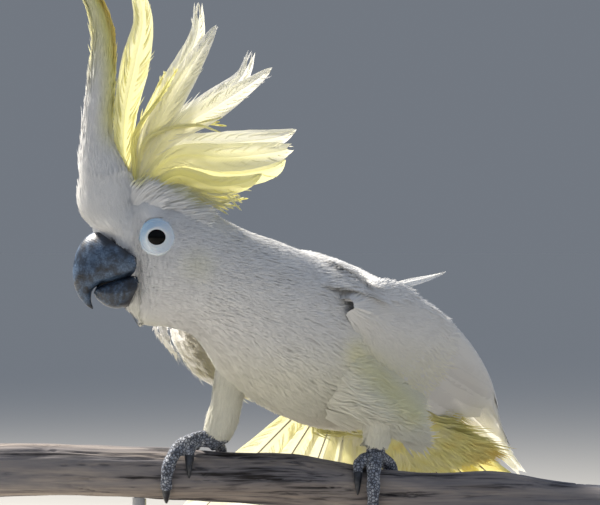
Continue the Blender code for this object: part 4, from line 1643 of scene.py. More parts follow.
def mantle() -> PatchSurface:
    """Lays the feathers of the upper back over the front of both folded wings.

    Returns:
        The patch, from the left wing over the spine to the right wing.
    """
    # Lines of feathers from the wing up: angle round the body, v on the wing, and how full they lie, mm.
    lines = ((24, 1.75, 0), (42, 2.1, 2), (62, 2.5, 3))

    def over(surface: Surface, u: float, v: float, height: float) -> Array:
        """Finds a place over a surface."""
        at = np.array([u]), np.array([v])
        return surface.point(*at) + surface.normal(*at) * height

    # Where the patch meets each wing: u, from the front back. The right wing hangs forward.
    meets = {"left": (1.4, 2.5, 3.3), "right": (3.6, 4.4, 5.2)}
    sides = {}
    for side, wing in WINGS.items():
        sides[side] = []
        first, second, third = meets[side]
        for turn, across, fullness in lines:
            angle = math.radians(turn if side == "left" else 180 - turn)
            fore, arm = over(BODYFORM, 7.6, angle, 1), over(wing, first, across, 2.5)
            between = 0.5 * (fore + arm) + BODYFORM.normal(np.array([7]), np.array([angle])) * 3.5
            sides[side].append(np.concatenate([
                over(BODYFORM, 8.6, angle, -0.5), fore, between, arm,
                over(wing, second, across, 1.5 + fullness), over(wing, third, across, 0.3 + fullness)]))
    spine = np.concatenate([
        over(BODYFORM, u, math.radians(90), height)
        for u, height in ((8.6, -0.5), (7.6, 1), (6.7, 1.5), (6, 1.2), (5.3, 0.5), (4.7, 5))])
    return PatchSurface([*sides["left"], spine, *sides["right"][::-1]], BODYFORM.stations[6][:3])


# Plumage over the corners where two forms meet.
BRIDGES = {
    "mantle": mantle(),
    "brow_left": brow(False),
    "brow_right": brow(True),
    "flank_left": PatchSurface(FLANK, (20, 60, 60)),
}


def behind_bill(points: Array, margin: float = 0) -> Array:
    """Tells which places lie on the plumage's side of the bill's edge."""
    z, x = np.asarray(BILL_EDGE).T
    return points[..., 0] > np.interp(points[..., 2], z, x) + margin


def off_eye(points: Array) -> Array:
    """Distance of each place from the eye's middle in profile, or far off where it isn't on a side."""
    flat = np.hypot(points[..., 0] - EYE_PLACE[0], points[..., 2] - EYE_PLACE[1])
    return np.where(np.abs(points[..., 1] - MIDPLANE) > 14, flat, 99)


@dataclass(frozen=True)
class Skin:
    """One skin for head, neck, trunk, legs and the arms of the wings, deeper than the feathers' tips."""

    voxel: float = 1.5
    head_depth: float = 1.5
    body_depth: float = 3
    leg_depth: float = 2.2
    wing_depth: float = 3
    wing_wall: float = 2.2  # least thickness
    brow_depth: float = 1.9
    bridge_wall: float = 4.5
    bridge_sink: float = 4  # how much deeper the rim of a bridge lies
    thigh_sink: float = 7  # how much deeper the left thigh lies, under the flank
    cere_place: tuple[float, float, float] = (-109.5, MIDPLANE, 135.5)
    cere_size: tuple[float, float, float] = (8, 6, 4.2)
    # How far the skin of each wing runs from the wrist, mm. Light glows through the rest.
    arm_reach: tuple[tuple[str, float], ...] = (("left", 150), ("right", 12))

    def body(self) -> Sheet:
        """Makes the closed form of rump to face.

        Returns:
            The form.
        """
        u, v = around(np.linspace(0.05, 13.95, 150), 96)
        depth = self.body_depth + (self.head_depth - self.body_depth) * ease(u, 8, 10.5)
        rings = BODYFORM.point(u, v) - BODYFORM.normal(u, v) * depth[..., None]
        return tube_sheet(rings)

    @staticmethod
    def plate(surface: Surface, u: Array, v: Array, top: Array | float, floor: Array) -> Sheet:
        """Makes a closed plate that follows a surface.

        Args:
            surface: The surface over it.
            u: First coordinate of each point.
            v: Second coordinate of each point.
            top: How deep the plate's outer side lies.
            floor: How deep its inner side lies.

        Returns:
            The plate.
        """
        point, normal = surface.point(u, v), surface.normal(u, v)
        rings = np.concatenate([point - normal * top, (point - normal * floor)[:, ::-1]], axis=1)
        return tube_sheet(rings if surface.outward > 0 else rings[:, ::-1])

    def bridge(self, name: str) -> Sheet:
        """Makes the closed form under one bridging patch.

        Args:
            name: The patch.

        Returns:
            The form, deeper towards its rim.
        """
        surface = BRIDGES[name]
        least = self.brow_depth if name.startswith("brow") else self.body_depth
        u_last, v_last = surface.u_range[1], surface.v_range[1]
        lines = np.linspace(0.15, u_last - 0.7, 36), np.linspace(0.25, v_last - 0.25, 36)
        u, v = np.meshgrid(*lines, indexing="ij")
        rim = np.minimum(np.minimum(u, u_last - 0.6 - u), np.minimum(v, v_last - v) - 0.1)
        depth = (least + self.bridge_sink * (1 - ease(rim, 0, 0.6)))[..., None]
        return self.plate(surface, u, v, depth, depth + self.bridge_wall)

    def leg(self, side: str) -> Sheet:
        """Makes the closed form of one shank.

        Args:
            side: Its side, left or right.

        Returns:
            The form. The left one lies deeper where the flank covers it.
        """
        surface = LEGS[side]
        u, v = around(np.linspace(0, surface.u_range[1], 40), 32)
        point = surface.point(u, v)
        hidden = ease(point[..., 2], THIGH_TOP - 3, THIGH_TOP + 5) * (side == "left")
        depth = (self.leg_depth + self.thigh_sink * hidden)[..., None]
        return tube_sheet(point - surface.normal(u, v) * depth)

    def cere(self) -> Sheet:
        """Makes the swelling that fills the corner between the bill and the forehead.

        Returns:
            A closed egg shape.
        """
        u, v = around(np.linspace(0.05, math.pi - 0.05, 24), 32)
        along, across = unit(np.array([0.84, 0, -0.54])), unit(np.array([0.54, 0, 0.84]))
        length, width, height = self.cere_size
        rings = (
            -np.cos(u)[..., None] * along * length + (np.sin(u) * np.cos(v))[..., None] * ACROSS * width
            + (np.sin(u) * np.sin(v))[..., None] * across * height)
        return tube_sheet(np.asarray(self.cere_place) + rings)

    def arm(self, side: str) -> Sheet:
        """Makes the closed form of one wing's arm and hand.

        Args:
            side: Its side, left or right.

        Returns:
            The form.
        """
        surface = WINGS[side]
        top = float(surface.station(dict(self.arm_reach)[side]))
        u, v = np.meshgrid(np.linspace(0.4, top, 70), np.linspace(0.3, 2.78, 40), indexing="ij")
        wall = curve(surface.sections, u)[..., 9]
        floor = np.maximum(wall * 0.9, self.wing_depth + self.wing_wall)[..., None]
        return self.plate(surface, u, v, self.wing_depth, floor)

    def build(self, finish: bpy.types.Material) -> bpy.types.Object:
        """Makes the skin.

        Args:
            finish: Its material.

        Returns:
            The skin, in place of every node of flesh.
        """
        sheets = [self.body()]
        for side in LEGS:
            sheets += [self.leg(side), self.arm(side)]
        sheets += [self.bridge(name) for name in BRIDGES]
        sheets.append(self.cere())
        mesh = fused("skin", sheets, self.voxel)
        tint = mesh.attributes.new("tint", "FLOAT", "POINT")
        tint.data.foreach_set("value", yellowness(places_of(mesh)).astype(np.float32))
        nodes = ("head", "neck", "trunk", "leg_left", "leg_right", "wing_left", "wing_right")
        return settle(make_object("skin", mesh, finish), Slot.WHITE, *nodes)


def crestward(points: Array, normals: Array) -> tuple[Array, Array]:
    """Turns the forehead's feathers up into the crest.

    Args:
        points: Roots.
        normals: Their normals. Not used.

    Returns:
        A direction for each root, and how much it counts.
    """
    way = unit(np.array([0.25, 0, 1])) * np.ones((len(points), 1))
    weight = near(points, (-104, MIDPLANE, 146), 42) * ease(points[:, 2], 116, 136)
    down = unit(np.array([0.55, 0, -1])) * np.ones((len(points), 1))
    chin = 0.7 * ease(-points[:, 2], -108, -96) * ease(-points[:, 0], 62, 92)
    return np.where((chin > weight)[:, None], down, way), np.maximum(np.clip(weight * 1.6, 0, 1), chin)


def face_keep(points: Array, normals: Array) -> Array:
    """Leaves the eye's ring and the bill's root bare."""
    under_crest = near(points, (-103, MIDPLANE, 148), 13) > 0.5
    return behind_bill(points, -1.5) & (off_eye(points) > RING_REACH - 0.3) & ~under_crest


def face_stretch(points: Array, normals: Array) -> Array:
    """Shortens the feathers next to the eye and the bill.

    Args:
        points: Roots.
        normals: Their normals. Not used.

    Returns:
        A factor for each feather's length.
    """
    z, x = np.asarray(BILL_EDGE).T
    back = points[:, 0] - np.interp(points[:, 2], z, x)
    short = np.minimum(ease(off_eye(points), RING_REACH - 2, RING_REACH + 9), ease(back, -3, 16))
    return 0.62 + 0.63 * short


def trunk_stretch(points: Array, normals: Array) -> Array:
    """Lets the feathers grow longer towards the belly and the rump."""
    return 1 + 0.5 * ease(-points[:, 2], -66, -24) + 0.25 * ease(points[:, 1], 40, 110)


def hem_keep(points: Array, normals: Array) -> Array:
    """Ends both legs' coats above the feet, and starts the left one where the flank no longer covers it."""
    return (points[:, 2] > 17) & ((points[:, 0] < 0) | (points[:, 2] < THIGH_TOP))


@dataclass(frozen=True)
class Coats:
    """The small feathers of head, neck, trunk and legs: 3 mm long round the eye, about 35 mm at the vent."""

    face: TuftStyle = TuftStyle(
        1.75, 5.2, 0.62, 1.6, strips=4, spread=0.75, fan=0.2, loft=0.2, wander=0.12, round_edge=0.12)
    nape: TuftStyle = TuftStyle(
        2.5, 10.5, 0.9, 2.4, strips=5, spread=1.15, fan=0.15, loft=0.4, wander=0.14, round_edge=0.15)
    brow: TuftStyle = TuftStyle(
        1.9, 12, 0.95, 1.6, strips=5, spread=1.1, fan=0.08, loft=0.12, wander=0.06, round_edge=0.08)
    trunk: TuftStyle = TuftStyle(
        3.05, 14.5, 1.05, 3.2, strips=6, spread=1.75, fan=0.15, loft=0.75, wander=0.18)
    flank: TuftStyle = TuftStyle(3.4, 21, 1.25, 3.2, strips=6, spread=1.9, fan=0.17, loft=1.6, wander=0.26)
    leg: TuftStyle = TuftStyle(2, 8.5, 0.85, 2.3, strips=5, spread=1, fan=0.18, loft=0.7, wander=0.24)
    crest: TuftStyle = TuftStyle(2, 15, 0.95, 1.5, strips=5, spread=1.1, fan=0.08, loft=0.35, wander=0.07)

    def stretches(self) -> list[Coat]:
        """Lists the stretches.

        Returns:
            Those of the body from the rump forward, then the bridges and the legs.
        """
        made = [
            Coat("coat_rump", BODYFORM, 0.1, 3.6, self.flank, 11, stretch=trunk_stretch),
            Coat("coat_back", BODYFORM, 3.4, 6, self.trunk, 12, stretch=trunk_stretch),
            Coat("coat_breast", BODYFORM, 5.9, 8.2, self.trunk, 13, stretch=trunk_stretch),
            Coat("coat_neck", BODYFORM, 8, 9.9, self.nape, 14),
            Coat("coat_head", BODYFORM, 9.7, 13.95, self.face, 15, face_keep, face_stretch, crestward),
        ]
        for number, (name, surface) in enumerate(BRIDGES.items()):
            style = {"brow": self.brow, "flank": self.flank, "mantle": self.trunk}[name.split("_")[0]]
            keep = face_keep if name.startswith("brow") else everywhere
            high = surface.u_range[1] - 0.25
            made.append(Coat(f"coat_{name}", surface, 0, high, style, 30 + number, keep))
        for number, (side, surface) in enumerate(LEGS.items()):
            high = surface.u_range[1]
            made.append(Coat(f"coat_leg_{side}", surface, 0.4, high, self.leg, 20 + number, hem_keep))
        return made

    def build(self, finish: bpy.types.Material) -> None:
        """Grows every stretch."""
        for coat in self.stretches():
            settle(coat.sheet().make(coat.name, finish), Slot.WHITE)


# ---- crest ----
@dataclass(frozen=True)
class CrestPlume:
    """One long plume of the crest."""

    profile: tuple[tuple[float, float], ...]  # x and z of its shaft from root to tip
    half: tuple[float, ...]  # half widths from root to tip
    offset: float  # of its tip from the midplane, mm
    tint: tuple[float, float]  # yellow at root and at tip
    pale_edge: float  # loss of yellow towards the edges
    fork: float = 0


@dataclass(frozen=True)
class Crest:
    """The raised crest: a white column of forehead feathers, and yellow plumes that fan out behind it."""

    plumes: tuple[CrestPlume, ...] = (
        CrestPlume(((-106, 150), (-113, 188), (-111, 226), (-113, 258), (-130, 285)),
                   (7.5, 8.8, 7.4, 5.4, 4), 0, (0.3, 0.42), 0.08),
        CrestPlume(((-99, 160), (-98, 200), (-92, 232), (-88, 256), (-94, 281)),
                   (3, 6.4, 8, 5.6, 4.4), 1.4, (0.45, 0.35), 0.04, 0.08),
        CrestPlume(((-97, 161), (-83, 194), (-69, 222), (-58, 246), (-57, 265)),
                   (3, 7.6, 7.4, 4.6, 2.8), -1.6, (0.35, 0.12), 0.08, 0.12),
        CrestPlume(((-96, 160), (-82, 192), (-65, 222), (-54, 240), (-47, 252)),
                   (2.8, 7.6, 6.6, 4, 2.2), 3, (0.3, 0.08), 0.1),
        CrestPlume(((-95, 160), (-77, 190), (-50, 208), (-33, 223), (-27, 238)),
                   (2.8, 6, 7.6, 4.4, 2.6), -3.2, (0.25, 0.08), 0.1, 0.15),
        CrestPlume(((-94, 159), (-76, 188), (-48, 206), (-28, 219), (-16, 228)),
                   (2.6, 6, 7, 4.2, 2.2), 4.6, (0.3, 0.1), 0.1),
        CrestPlume(((-92, 159), (-72, 183), (-42, 186), (-15, 189), (-2, 194)),
                   (2.6, 5, 7, 5.4, 2), -4.6, (0.3, 0.12), 0.1),
        CrestPlume(((-91, 158), (-71, 178), (-40, 178), (-14, 181), (-4, 184)),
                   (2.6, 5.6, 8, 6, 2.4), 6, (0.42, 0.2), 0.08, 0.1),
        CrestPlume(((-89, 157), (-70, 173), (-40, 169), (-17, 172), (-8, 177)),
                   (2.6, 5.2, 8, 6, 2.2), -6.2, (0.5, 0.35), 0.04),
        CrestPlume(((-87, 156), (-69, 168), (-48, 162), (-31, 164), (-21, 169)),
                   (2.4, 4.4, 5.8, 4.2, 1.6), 7.4, (0.45, 0.4), 0.06),
    )
    # Profiles of the loose wisps: x and z from root to tip.
    wisps: tuple[tuple[tuple[float, float], ...], ...] = (
        ((-82, 157), (-66, 163), (-48, 156), (-33, 159.4)),
        ((-80, 156), (-64, 161), (-50, 154), (-37.4, 149.6)),
        ((-79, 155), (-62, 160), (-46, 157), (-34, 152.5)),
        ((-84, 157), (-68, 166), (-50, 160), (-27, 163)),
        ((-92, 166), (-92, 190), (-80, 214), (-70, 226)),
        ((-92, 166), (-84, 188), (-60, 196), (-44, 198)),
    )
    wisp_copies: int = 5
    facing: tuple[float, float, float] = (0, -1, 0)  # side that every plume shows
    mound_tufts: int = 1500

    @staticmethod
    def lift(profile: Sequence[Sequence[float]], offset: float) -> tuple[tuple[float, float, float], ...]:
        """Places a profile beside the midplane, a little farther off towards its tip."""
        last = len(profile) - 1
        return tuple((x, MIDPLANE - offset * (0.55 + 0.45 * i / last), z) for i, (x, z) in enumerate(profile))

    def feathers(self) -> Sheet:
        """Makes the long plumes and the loose wisps among them.

        Returns:
            All of them as one sheet.
        """
        made = []
        for number, one in enumerate(self.plumes):
            plume = Plume(
                self.lift(one.profile, one.offset), one.half, self.facing, cup=1.3, seed=100 + number,
                tint=one.tint, pale_edge=one.pale_edge, fork=one.fork,
                barbs=42 - 4 * number, barb_length=15 - 0.6 * number)
            made.append(plume.sheet(np.array([0.08 + 0.08 * number, 0.5])))
        rng = np.random.default_rng(5)
        for number, profile in enumerate(self.wisps):
            for copy in range(self.wisp_copies):
                bend = rng.normal(0, 1.6, (len(profile), 2)) * np.linspace(0.2, 1.6, len(profile))[:, None]
                path = self.lift(np.asarray(profile, float) + bend, rng.uniform(-8, 8))
                tint = rng.uniform(0.25, 0.5)
                wisp = Plume(
                    path, (0.9, 1.1, 0.9, 0.4), self.facing, cup=0.2, seed=200 + number * 9 + copy,
                    tint=(tint, tint), barbs=11, barb_length=6.5)
                made.append(wisp.sheet(np.array([0.05 + 0.15 * number, 0.2 + 0.1 * copy])))
        return Sheet.join(made)

    def core(self) -> Sheet:
        """Makes the closed form inside the white column.

        Returns:
            The form.
        """
        u, v = around(np.linspace(0, 11.6, 90), 40)
        shrink = 1.5 * (1 - 0.75 * ease(u, 5, 9))
        made = tube_sheet(COLUMN.point(u, v) - COLUMN.normal(u, v) * shrink[..., None])
        made.tint = self.column_yellow(made.points)
        return made

    @staticmethod
    def column_yellow(points: Array) -> Array:
        """Leaves the column white below and in front, and makes it yellow behind and towards the tip.

        Args:
            points: Places on it.

        Returns:
            Tint numbers.
        """
        x, _, z = np.moveaxis(points, -1, 0)
        middle = np.interp(z, [row[1] for row in COLUMN.stations], [row[0] for row in COLUMN.stations])
        rear = ease(x - middle, -3, 8) * ease(z, 176, 206)
        return np.clip(np.maximum(yellowness(points), 0.46 * rear + 0.3 * ease(z, 208, 258)), 0, 1)

    def mound(self) -> Sheet:
        """Makes the soft feathers behind the column that cover the plumes' roots: white, and yellow on top.

        Returns:
            The tufts, each on a free line that starts on the crown and bends back.
        """
        rng = np.random.default_rng(31)
        count, stages = self.mound_tufts, 7
        x0 = rng.uniform(-97, -60, count)
        y0 = np.clip(rng.normal(0, 7, count), -12.5, 12.5) * (0.35 + 0.65 * ease(x0, -98, -80))
        z0 = 155 - 0.018 * (x0 + 84) ** 2 - 0.045 * y0**2 + rng.uniform(-5, 0, count)
        back = ease(x0, -104, -62)
        length = rng.uniform(12, 24, count) * (1 - 0.42 * back)
        first = np.stack([0.1 + 0.75 * back, y0 * 0.03, 1.1 - 0.55 * back], axis=-1)
        first = unit(first + rng.normal(0, 0.12, (count, 3)))
        bend = np.stack([0.9 + 0.3 * back, y0 * 0.012, -0.55 - 0.2 * back], axis=-1)
        s = np.linspace(0, 1, stages)[:, None, None]
        root = np.stack([x0, MIDPLANE + y0, z0], axis=-1)
        places = root + first * length[:, None] * s + bend * length[:, None] * 0.42 * s**2
        ways = unit(np.gradient(places, axis=0))
        flat_side = y0 * 0.16 + np.sign(y0) * 0.5
        outward = np.stack([np.full(count, 0.05), flat_side, np.full(count, 0.25)], axis=-1)
        lines = Lines(places, square(outward, ways), ways, x0, y0)
        style = TuftStyle(
            2, 18, 1, 0, strips=6, spread=1.5, fan=0.08, loft=0.15, steps=stages - 1, round_edge=0.05)
        spots = np.stack([(x0 + 104) / 40, (y0 + 18) / 36], axis=-1) * 0.9 + 0.05
        made = strips_on(lines, spots, style, rng, np.ones(count))
        x, z = made.points[:, 0], made.points[:, 2]
        high = 0.34 * ease(z, 166, 181) * ease(x, -98, -82)
        flat = made.points * (1, 0, 1) + (0, MIDPLANE, 0)
        hollow = 0.85 * near(flat, (-90, MIDPLANE, 172), 8)
        nape = 0.24 * near(made.points, (-58, MIDPLANE, 152), 12)
        made.tint = np.clip(yellowness(made.points) + np.maximum(np.maximum(high, hollow), nape), 0, 1)
        return made

    def build(self, style: TuftStyle, palette: Materials) -> None:
        """Makes core, column, mound and plumes.

        Args:
            style: The column's tufts.
            palette: The finishes.
        """
        settle(self.core().make("crest_core", palette["down"]), Slot.WHITE, "crest_front")
        tufts = Coat("crest_column", COLUMN, 0, 11, style, 41, keep=lambda p, n: behind_bill(p, 0.5))
        column = tufts.sheet()
        column.tint = self.column_yellow(column.points)
        settle(column.make("crest_column", palette["white"]), Slot.WHITE)
        settle(self.mound().make("crest_mound", palette["white"]), Slot.WHITE)
        nodes = [f"crest_{number:02d}" for number in range(1, 11)]
        settle(self.feathers().make("crest_plumes", palette["plume"]), Slot.YELLOW, *nodes)


# ---- wings ----
@dataclass(frozen=True)
class Row:
    """One row of wing feathers across the wing."""

    name: str
    start: tuple[float, float]  # distance of its lowest and of its highest root from the wrist, mm
    across: tuple[float, float]  # v of its lowest and of its highest root
    count: int
    length: tuple[float, float]  # of its lowest and of its highest feather, mm
    half: tuple[float, float]  # half widths, mm
    base: tuple[float, float]  # height of the roots over the wing's surface, mm
    rise: float  # lift of the tips over the roots, mm
    blunt: float  # how blunt the tips are
    turn: tuple[float, float] = (0, 0)  # off the lie of the feathers, radians
    tilt: float = -0.3  # lift of the upper edges over the lower, mm
    ragged: float = 0.6  # depth of the nicks in the edges, mm


@dataclass(frozen=True)
class Wing:
    """One folded wing: long primaries below, secondaries and tertials over them, then rows of coverts."""

    side: str
    rows: tuple[Row, ...] = (
        Row("primaries", (112, 150), (0.1, 2.1), 9, (188, 128), (9.5, 10.5), (-3, -1.9),
            rise=1.6, tilt=-0.2, blunt=3.2, ragged=0.5),
        Row("secondaries", (84, 96), (0.15, 2.5), 12, (108, 142), (10.5, 13), (-1.9, -1.3),
            turn=(0.04, 0), rise=1.1, tilt=-0.35, blunt=4.6),
        Row("tertials", (70, 88), (2.35, 2.95), 4, (128, 112), (12, 13), (-1, -0.5),
            turn=(-0.05, 0), rise=0.6, blunt=4),
        Row("greater_coverts", (62, 52), (0.06, 2.92), 13, (58, 62), (10, 11.5), (-1.5, -1.2),
            turn=(-0.1, 0), rise=0.9, blunt=3.4, ragged=0.7),
        Row("median_coverts", (38, 34), (0.06, 2.94), 14, (42, 42), (8.5, 9.5), (-1.3, -1),
            turn=(-0.08, 0), rise=0.8, tilt=-0.25, blunt=3, ragged=0.7),
    )
    lesser: TuftStyle = TuftStyle(2.7, 13, 1.1, 2.4, strips=6, spread=1.6, fan=0.15, loft=0.7, wander=0.16)
    lining: TuftStyle = TuftStyle(
        4.6, 19, 1.25, 2.2, strips=5, spread=2.2, fan=0.13, loft=0.35, wander=0.12)
    # Distances from the wrist, mm.
    lesser_end: float = 62
    lining_end: float = 150
    hem: float = 96  # where the last rows thin out
    hem_wander: float = 9

    def lay(self, row: Row, number: int) -> Sheet:
        """Lays one row.

        Args:
            row: The row.
            number: Its place in the order, which seeds its small differences.

        Returns:
            The row's feathers.
        """
        surface = WINGS[self.side]
        rng = np.random.default_rng(60 + number)
        share = np.linspace(0, 1, row.count)
        wobble = rng.uniform(-1, 1, row.count)

        def between(pair: tuple[float, float]) -> Array:
            """Spreads a pair of values over the row's feathers."""
            return pair[0] + (pair[1] - pair[0]) * share

        u = surface.station(between(row.start) + 2 * wobble)
        v = between(row.across)
        style = VaneStyle(0.5, row.blunt, row.rise, row.tilt * surface.sign, 0.2, row.ragged)
        turn = (between(row.turn) + 0.015 * wobble) * surface.sign
        length = between(row.length) * (1 + 0.03 * rng.uniform(-1, 1, row.count))
        return vanes_on(surface, u, v, turn, length, between(row.half), between(row.base), style, 70 + number)

    def build(self, palette: Materials) -> None:
        """Makes the long feathers, the coverts and the small tufts over them.

        Args:
            palette: The finishes.
        """
        opaque = self.side == "left"  # light glows through the right wing
        vanes = Sheet.join([self.lay(row, number) for number, row in enumerate(self.rows)])
        settle(vanes.make(f"wing_{self.side}_vanes", palette["flight" if opaque else "thin"]), Slot.WHITE)
        surface = WINGS[self.side]
        seed = 80 if opaque else 90
        edge = float(surface.station(np.array(self.lesser_end)))
        rear = float(surface.station(np.array(self.lining_end)))
        lesser = self.lesser if opaque else replace(self.lesser, spacing=2 * self.lesser.spacing)
        small = Coat("small", surface, 0.05, edge, lesser, seed).sheet()
        soft = Coat("soft", surface, edge, rear, self.lining, seed + 1, keep=self.thin_out).sheet()
        coverts = Sheet.join([small, soft]).make(
            f"wing_{self.side}_coverts", palette["white" if opaque else "thin"])
        settle(coverts, Slot.WHITE)

    def thin_out(self, points: Array, normals: Array) -> Array:
        """Lets the tufts of the coverts end in a ragged edge.

        Args:
            points: Roots.
            normals: Their normals. Not used.

        Returns:
            True for each root that stays.
        """
        surface = WINGS[self.side]
        away = (points - np.asarray(surface.wrist)) @ surface.back
        return away < self.hem + self.hem_wander * Ripple(7, 16).at(points)


@dataclass(frozen=True)
class StrayFeather:
    """The one pointed feather that stands off the back."""

    path: tuple[tuple[float, float, float], ...] = (
        (54, 4, 106), (63, 12, 108), (74, 20, 110.5), (84.5, 26, 113.8))
    half: tuple[float, ...] = (2.2, 2.8, 1.9, 0.25)
    facing: tuple[float, float, float] = (0.1, -0.75, 0.6)

    def build(self, finish: bpy.types.Material) -> None:
        """Makes the feather.

        Args:
            finish: Its material.
        """
        plume = Plume(
            self.path, self.half, self.facing, cup=0.5, seed=301, tint=(0, 0), barbs=6, barb_length=6,
            blunt=30)
        settle(plume.sheet(np.array([0.5, 0.5])).make("stray_feather", finish), Slot.WHITE)


# ---- tail ----
@dataclass(frozen=True)
class Tail:
    """Twelve long feathers in a fan, and the soft coverts over and under their roots."""

    root: tuple[float, float, float] = (36, 100, 56)
    length: float = 204
    heading: float = 8  # degrees from +Y towards the left
    drop: float = 42  # degrees below level
    angles: tuple[float, ...] = (-37.5, -27.5, -18.5, -11.5, -6.5, -2, 2.5, 7, 12, 18.5, 25.5, 32.5)
    reach: float = 39.5  # half angle of the fan, degrees
    root_half: float = 12  # half width of the row of roots
    sag: float = 7  # of the outermost tips, mm
    half: float = 14.5
    shaft_radius: float = 0.6
    covert: TuftStyle = TuftStyle(
        3, 30, 1.1, 0.6, strips=6, spread=2, fan=0.12, loft=0.8, steps=4, round_edge=0.12)
    flat_tufts: int = 1250
    down_tufts: int = 1500

    def frame(self) -> tuple[Array, Array, Array]:
        """Works out which way the fan lies.

        Returns:
            Its axis, its left and its upper normal.
        """
        aside, drop = math.radians(self.heading), math.radians(self.drop)
        level = math.cos(drop)
        axis = np.array([math.sin(aside) * level, math.cos(aside) * level, -math.sin(drop)])
        left = np.array([math.cos(aside), -math.sin(aside), 0])
        normal = np.cross(left, axis)
        return axis, left, normal * math.copysign(1, normal[2])

    def place(self, angle: Array, reach: Array, lift: Array) -> Array:
        """A place on the fan.

        Args:
            angle: Degrees from the axis towards the left.
            reach: Distance from the root.
            lift: Height over the fan's middle.

        Returns:
            The place in space.
        """
        axis, left, normal = self.frame()
        turn = np.radians(angle)
        share = np.asarray(angle) / self.reach
        sag = self.sag * (reach / self.length) * share**2
        made = np.asarray(self.root) + left * (self.root_half * share)[..., None]
        made = made + (axis * np.cos(turn)[..., None] + left * np.sin(turn)[..., None]) * reach[..., None]
        return made + normal * (lift - sag)[..., None]

    def spine(self, number: int, count: int, end: float, lower: float = 0) -> Array:
        """Draws the middle line of one feather.

        Args:
            number: The feather's place from right to left.
            count: Points on the line.
            end: Share of the feather's length where it ends.
            lower: How far it lies below the web, mm.

        Returns:
            Its points. The middle feathers lie over the outer ones and are longer.
        """
        angle = self.angles[number]
        reach = np.linspace(4, self.length * (1 - 0.05 * (angle / self.reach) ** 2) * end, count)
        middle = (len(self.angles) - 1) / 2
        order = middle - abs(number - middle)
        lift = np.full(count, -1.1 + 0.42 * order) * np.linspace(0.5, 1, count) - lower
        return self.place(np.full(count, angle), reach, lift)

    def feather(self, number: int) -> Sheet:
        """Makes one tail feather.

        Args:
            number: Its place from right to left.

        Returns:
            Its web and barbs.
        """
        angle = self.angles[number]
        path = tuple(map(tuple, self.spine(number, 7, 0.985)))
        half = (2.6, 5.5, 8.5, 11.5, self.half, self.half, self.half * 0.9)
        edge = 0 if abs(angle) > 30 else 0.12
        facing = tuple(self.frame()[2])
        gold = 0.3 * float(ease(angle, -8, 26))
        tint = (0.42 + gold, 0.1 + 1.2 * gold)
        plume = Plume(
            path, half, facing, cup=0.9, seed=320 + number, tint=tint, pale_edge=edge, barbs=60,
            barb_length=13)
        return plume.sheet(np.array([0.06 + 0.078 * number, 0.5]))

    def shafts(self) -> Sheet:
        """Makes the horny shafts. Their grey-brown is partly the horn's own tone and partly painted shade,
        for the dark lines that shafts make in the thin backlit webs.

        Returns:
            The shafts as one sheet.
        """
        radii = np.linspace(self.shaft_radius, 0.22, 24)
        lines = [self.spine(number, len(radii), 0.97, 0.1) for number in range(len(self.angles))]
        return Sheet.join([tube_sheet(tube_rings(line, radii, 8)) for line in lines])

    def tufts(
        self, angle: Array, start: Array, height: Array, long: Array, style: TuftStyle, seed: int
    ) -> Sheet:
        """Makes soft tufts that lie along the fan.

        Args:
            angle: Each root's angle in the fan.
            start: Its distance from the fan's root.
            height: Its height over the fan, below zero on the underside.
            long: Its length.
            style: Its look.
            seed: Seed of its small differences.

        Returns:
            The tufts.
        """
        rng = np.random.default_rng(seed)
        count, stages = len(angle), style.steps + 1
        face = np.sign(height)
        s = np.linspace(0, 1, stages)[:, None]
        arch = 1.5 * face * np.sin(math.pi * np.clip(s, 0, 0.9))
        rise = height * (1 - 0.45 * s) + arch
        places = self.place(angle + rng.normal(0, 4, count) * s, start + long * s, rise)
        ways = unit(np.gradient(places, axis=0))
        normals = square(self.frame()[2] * face[None, :, None], ways)
        spots = np.stack([(angle + 46) / 92, start / 125], axis=-1) * 0.9 + 0.05
        return strips_on(Lines(places, normals, ways, angle, start), spots, style, rng, np.ones(count))

    def coverts(self) -> Sheet:
        """Makes the tail's coverts: short on its right, and deep golden down under its left.

        Returns:
            The tufts.
        """
        rng = np.random.default_rng(350)
        style = self.covert
        count = self.flat_tufts
        angle = rng.uniform(-40, 40, count)
        left = ease(angle, -22, 6)
        start = rng.uniform(4, 22 + 46 * left, count)
        height = np.where(rng.uniform(size=count) < 0.55, -1, 1) * rng.uniform(1.9, 3, count)
        flat = self.tufts(angle, start, height, rng.uniform(18, 26 + 10 * left, count), style, 351)
        yellow = 0.3 + 0.28 * ease(flat.points[:, 0], 40, 90) + 0.1 * Ripple(9, 20).at(flat.points)
        flat.tint = np.clip(yellow, 0, 1)
        count = self.down_tufts
        angle = rng.uniform(8, 43, count)
        start = rng.uniform(2, 80, count)
        deep = 12.5 * (1 - ease(start, 40, 104)) * ease(angle, 4, 16)
        height = -1.8 - deep * rng.uniform(0.3, 1, count)
        down = self.tufts(angle, start, height, rng.uniform(16, 30, count), style, 352)
        gold = ease(down.points[:, 0], 88, 128) * ease(-down.points[:, 2], -22, 12)
        down.tint = np.clip(0.46 + 0.5 * gold + 0.1 * Ripple(10, 12).at(down.points), 0, 1)
        return Sheet.join([flat, down])

    def build(self, palette: Materials) -> None:
        """Makes the fan, its shafts and its coverts.

        Args:
            palette: The finishes.
        """
        fan = Sheet.join([self.feather(number) for number in range(len(self.angles))])
        settle(fan.make("tail_feathers", palette["fan"]), Slot.YELLOW, "tail")
        settle(self.shafts().make("tail_shafts", palette["shaft"]), Slot.YELLOW)
        settle(self.coverts().make("tail_coverts", palette["white"]), Slot.YELLOW)


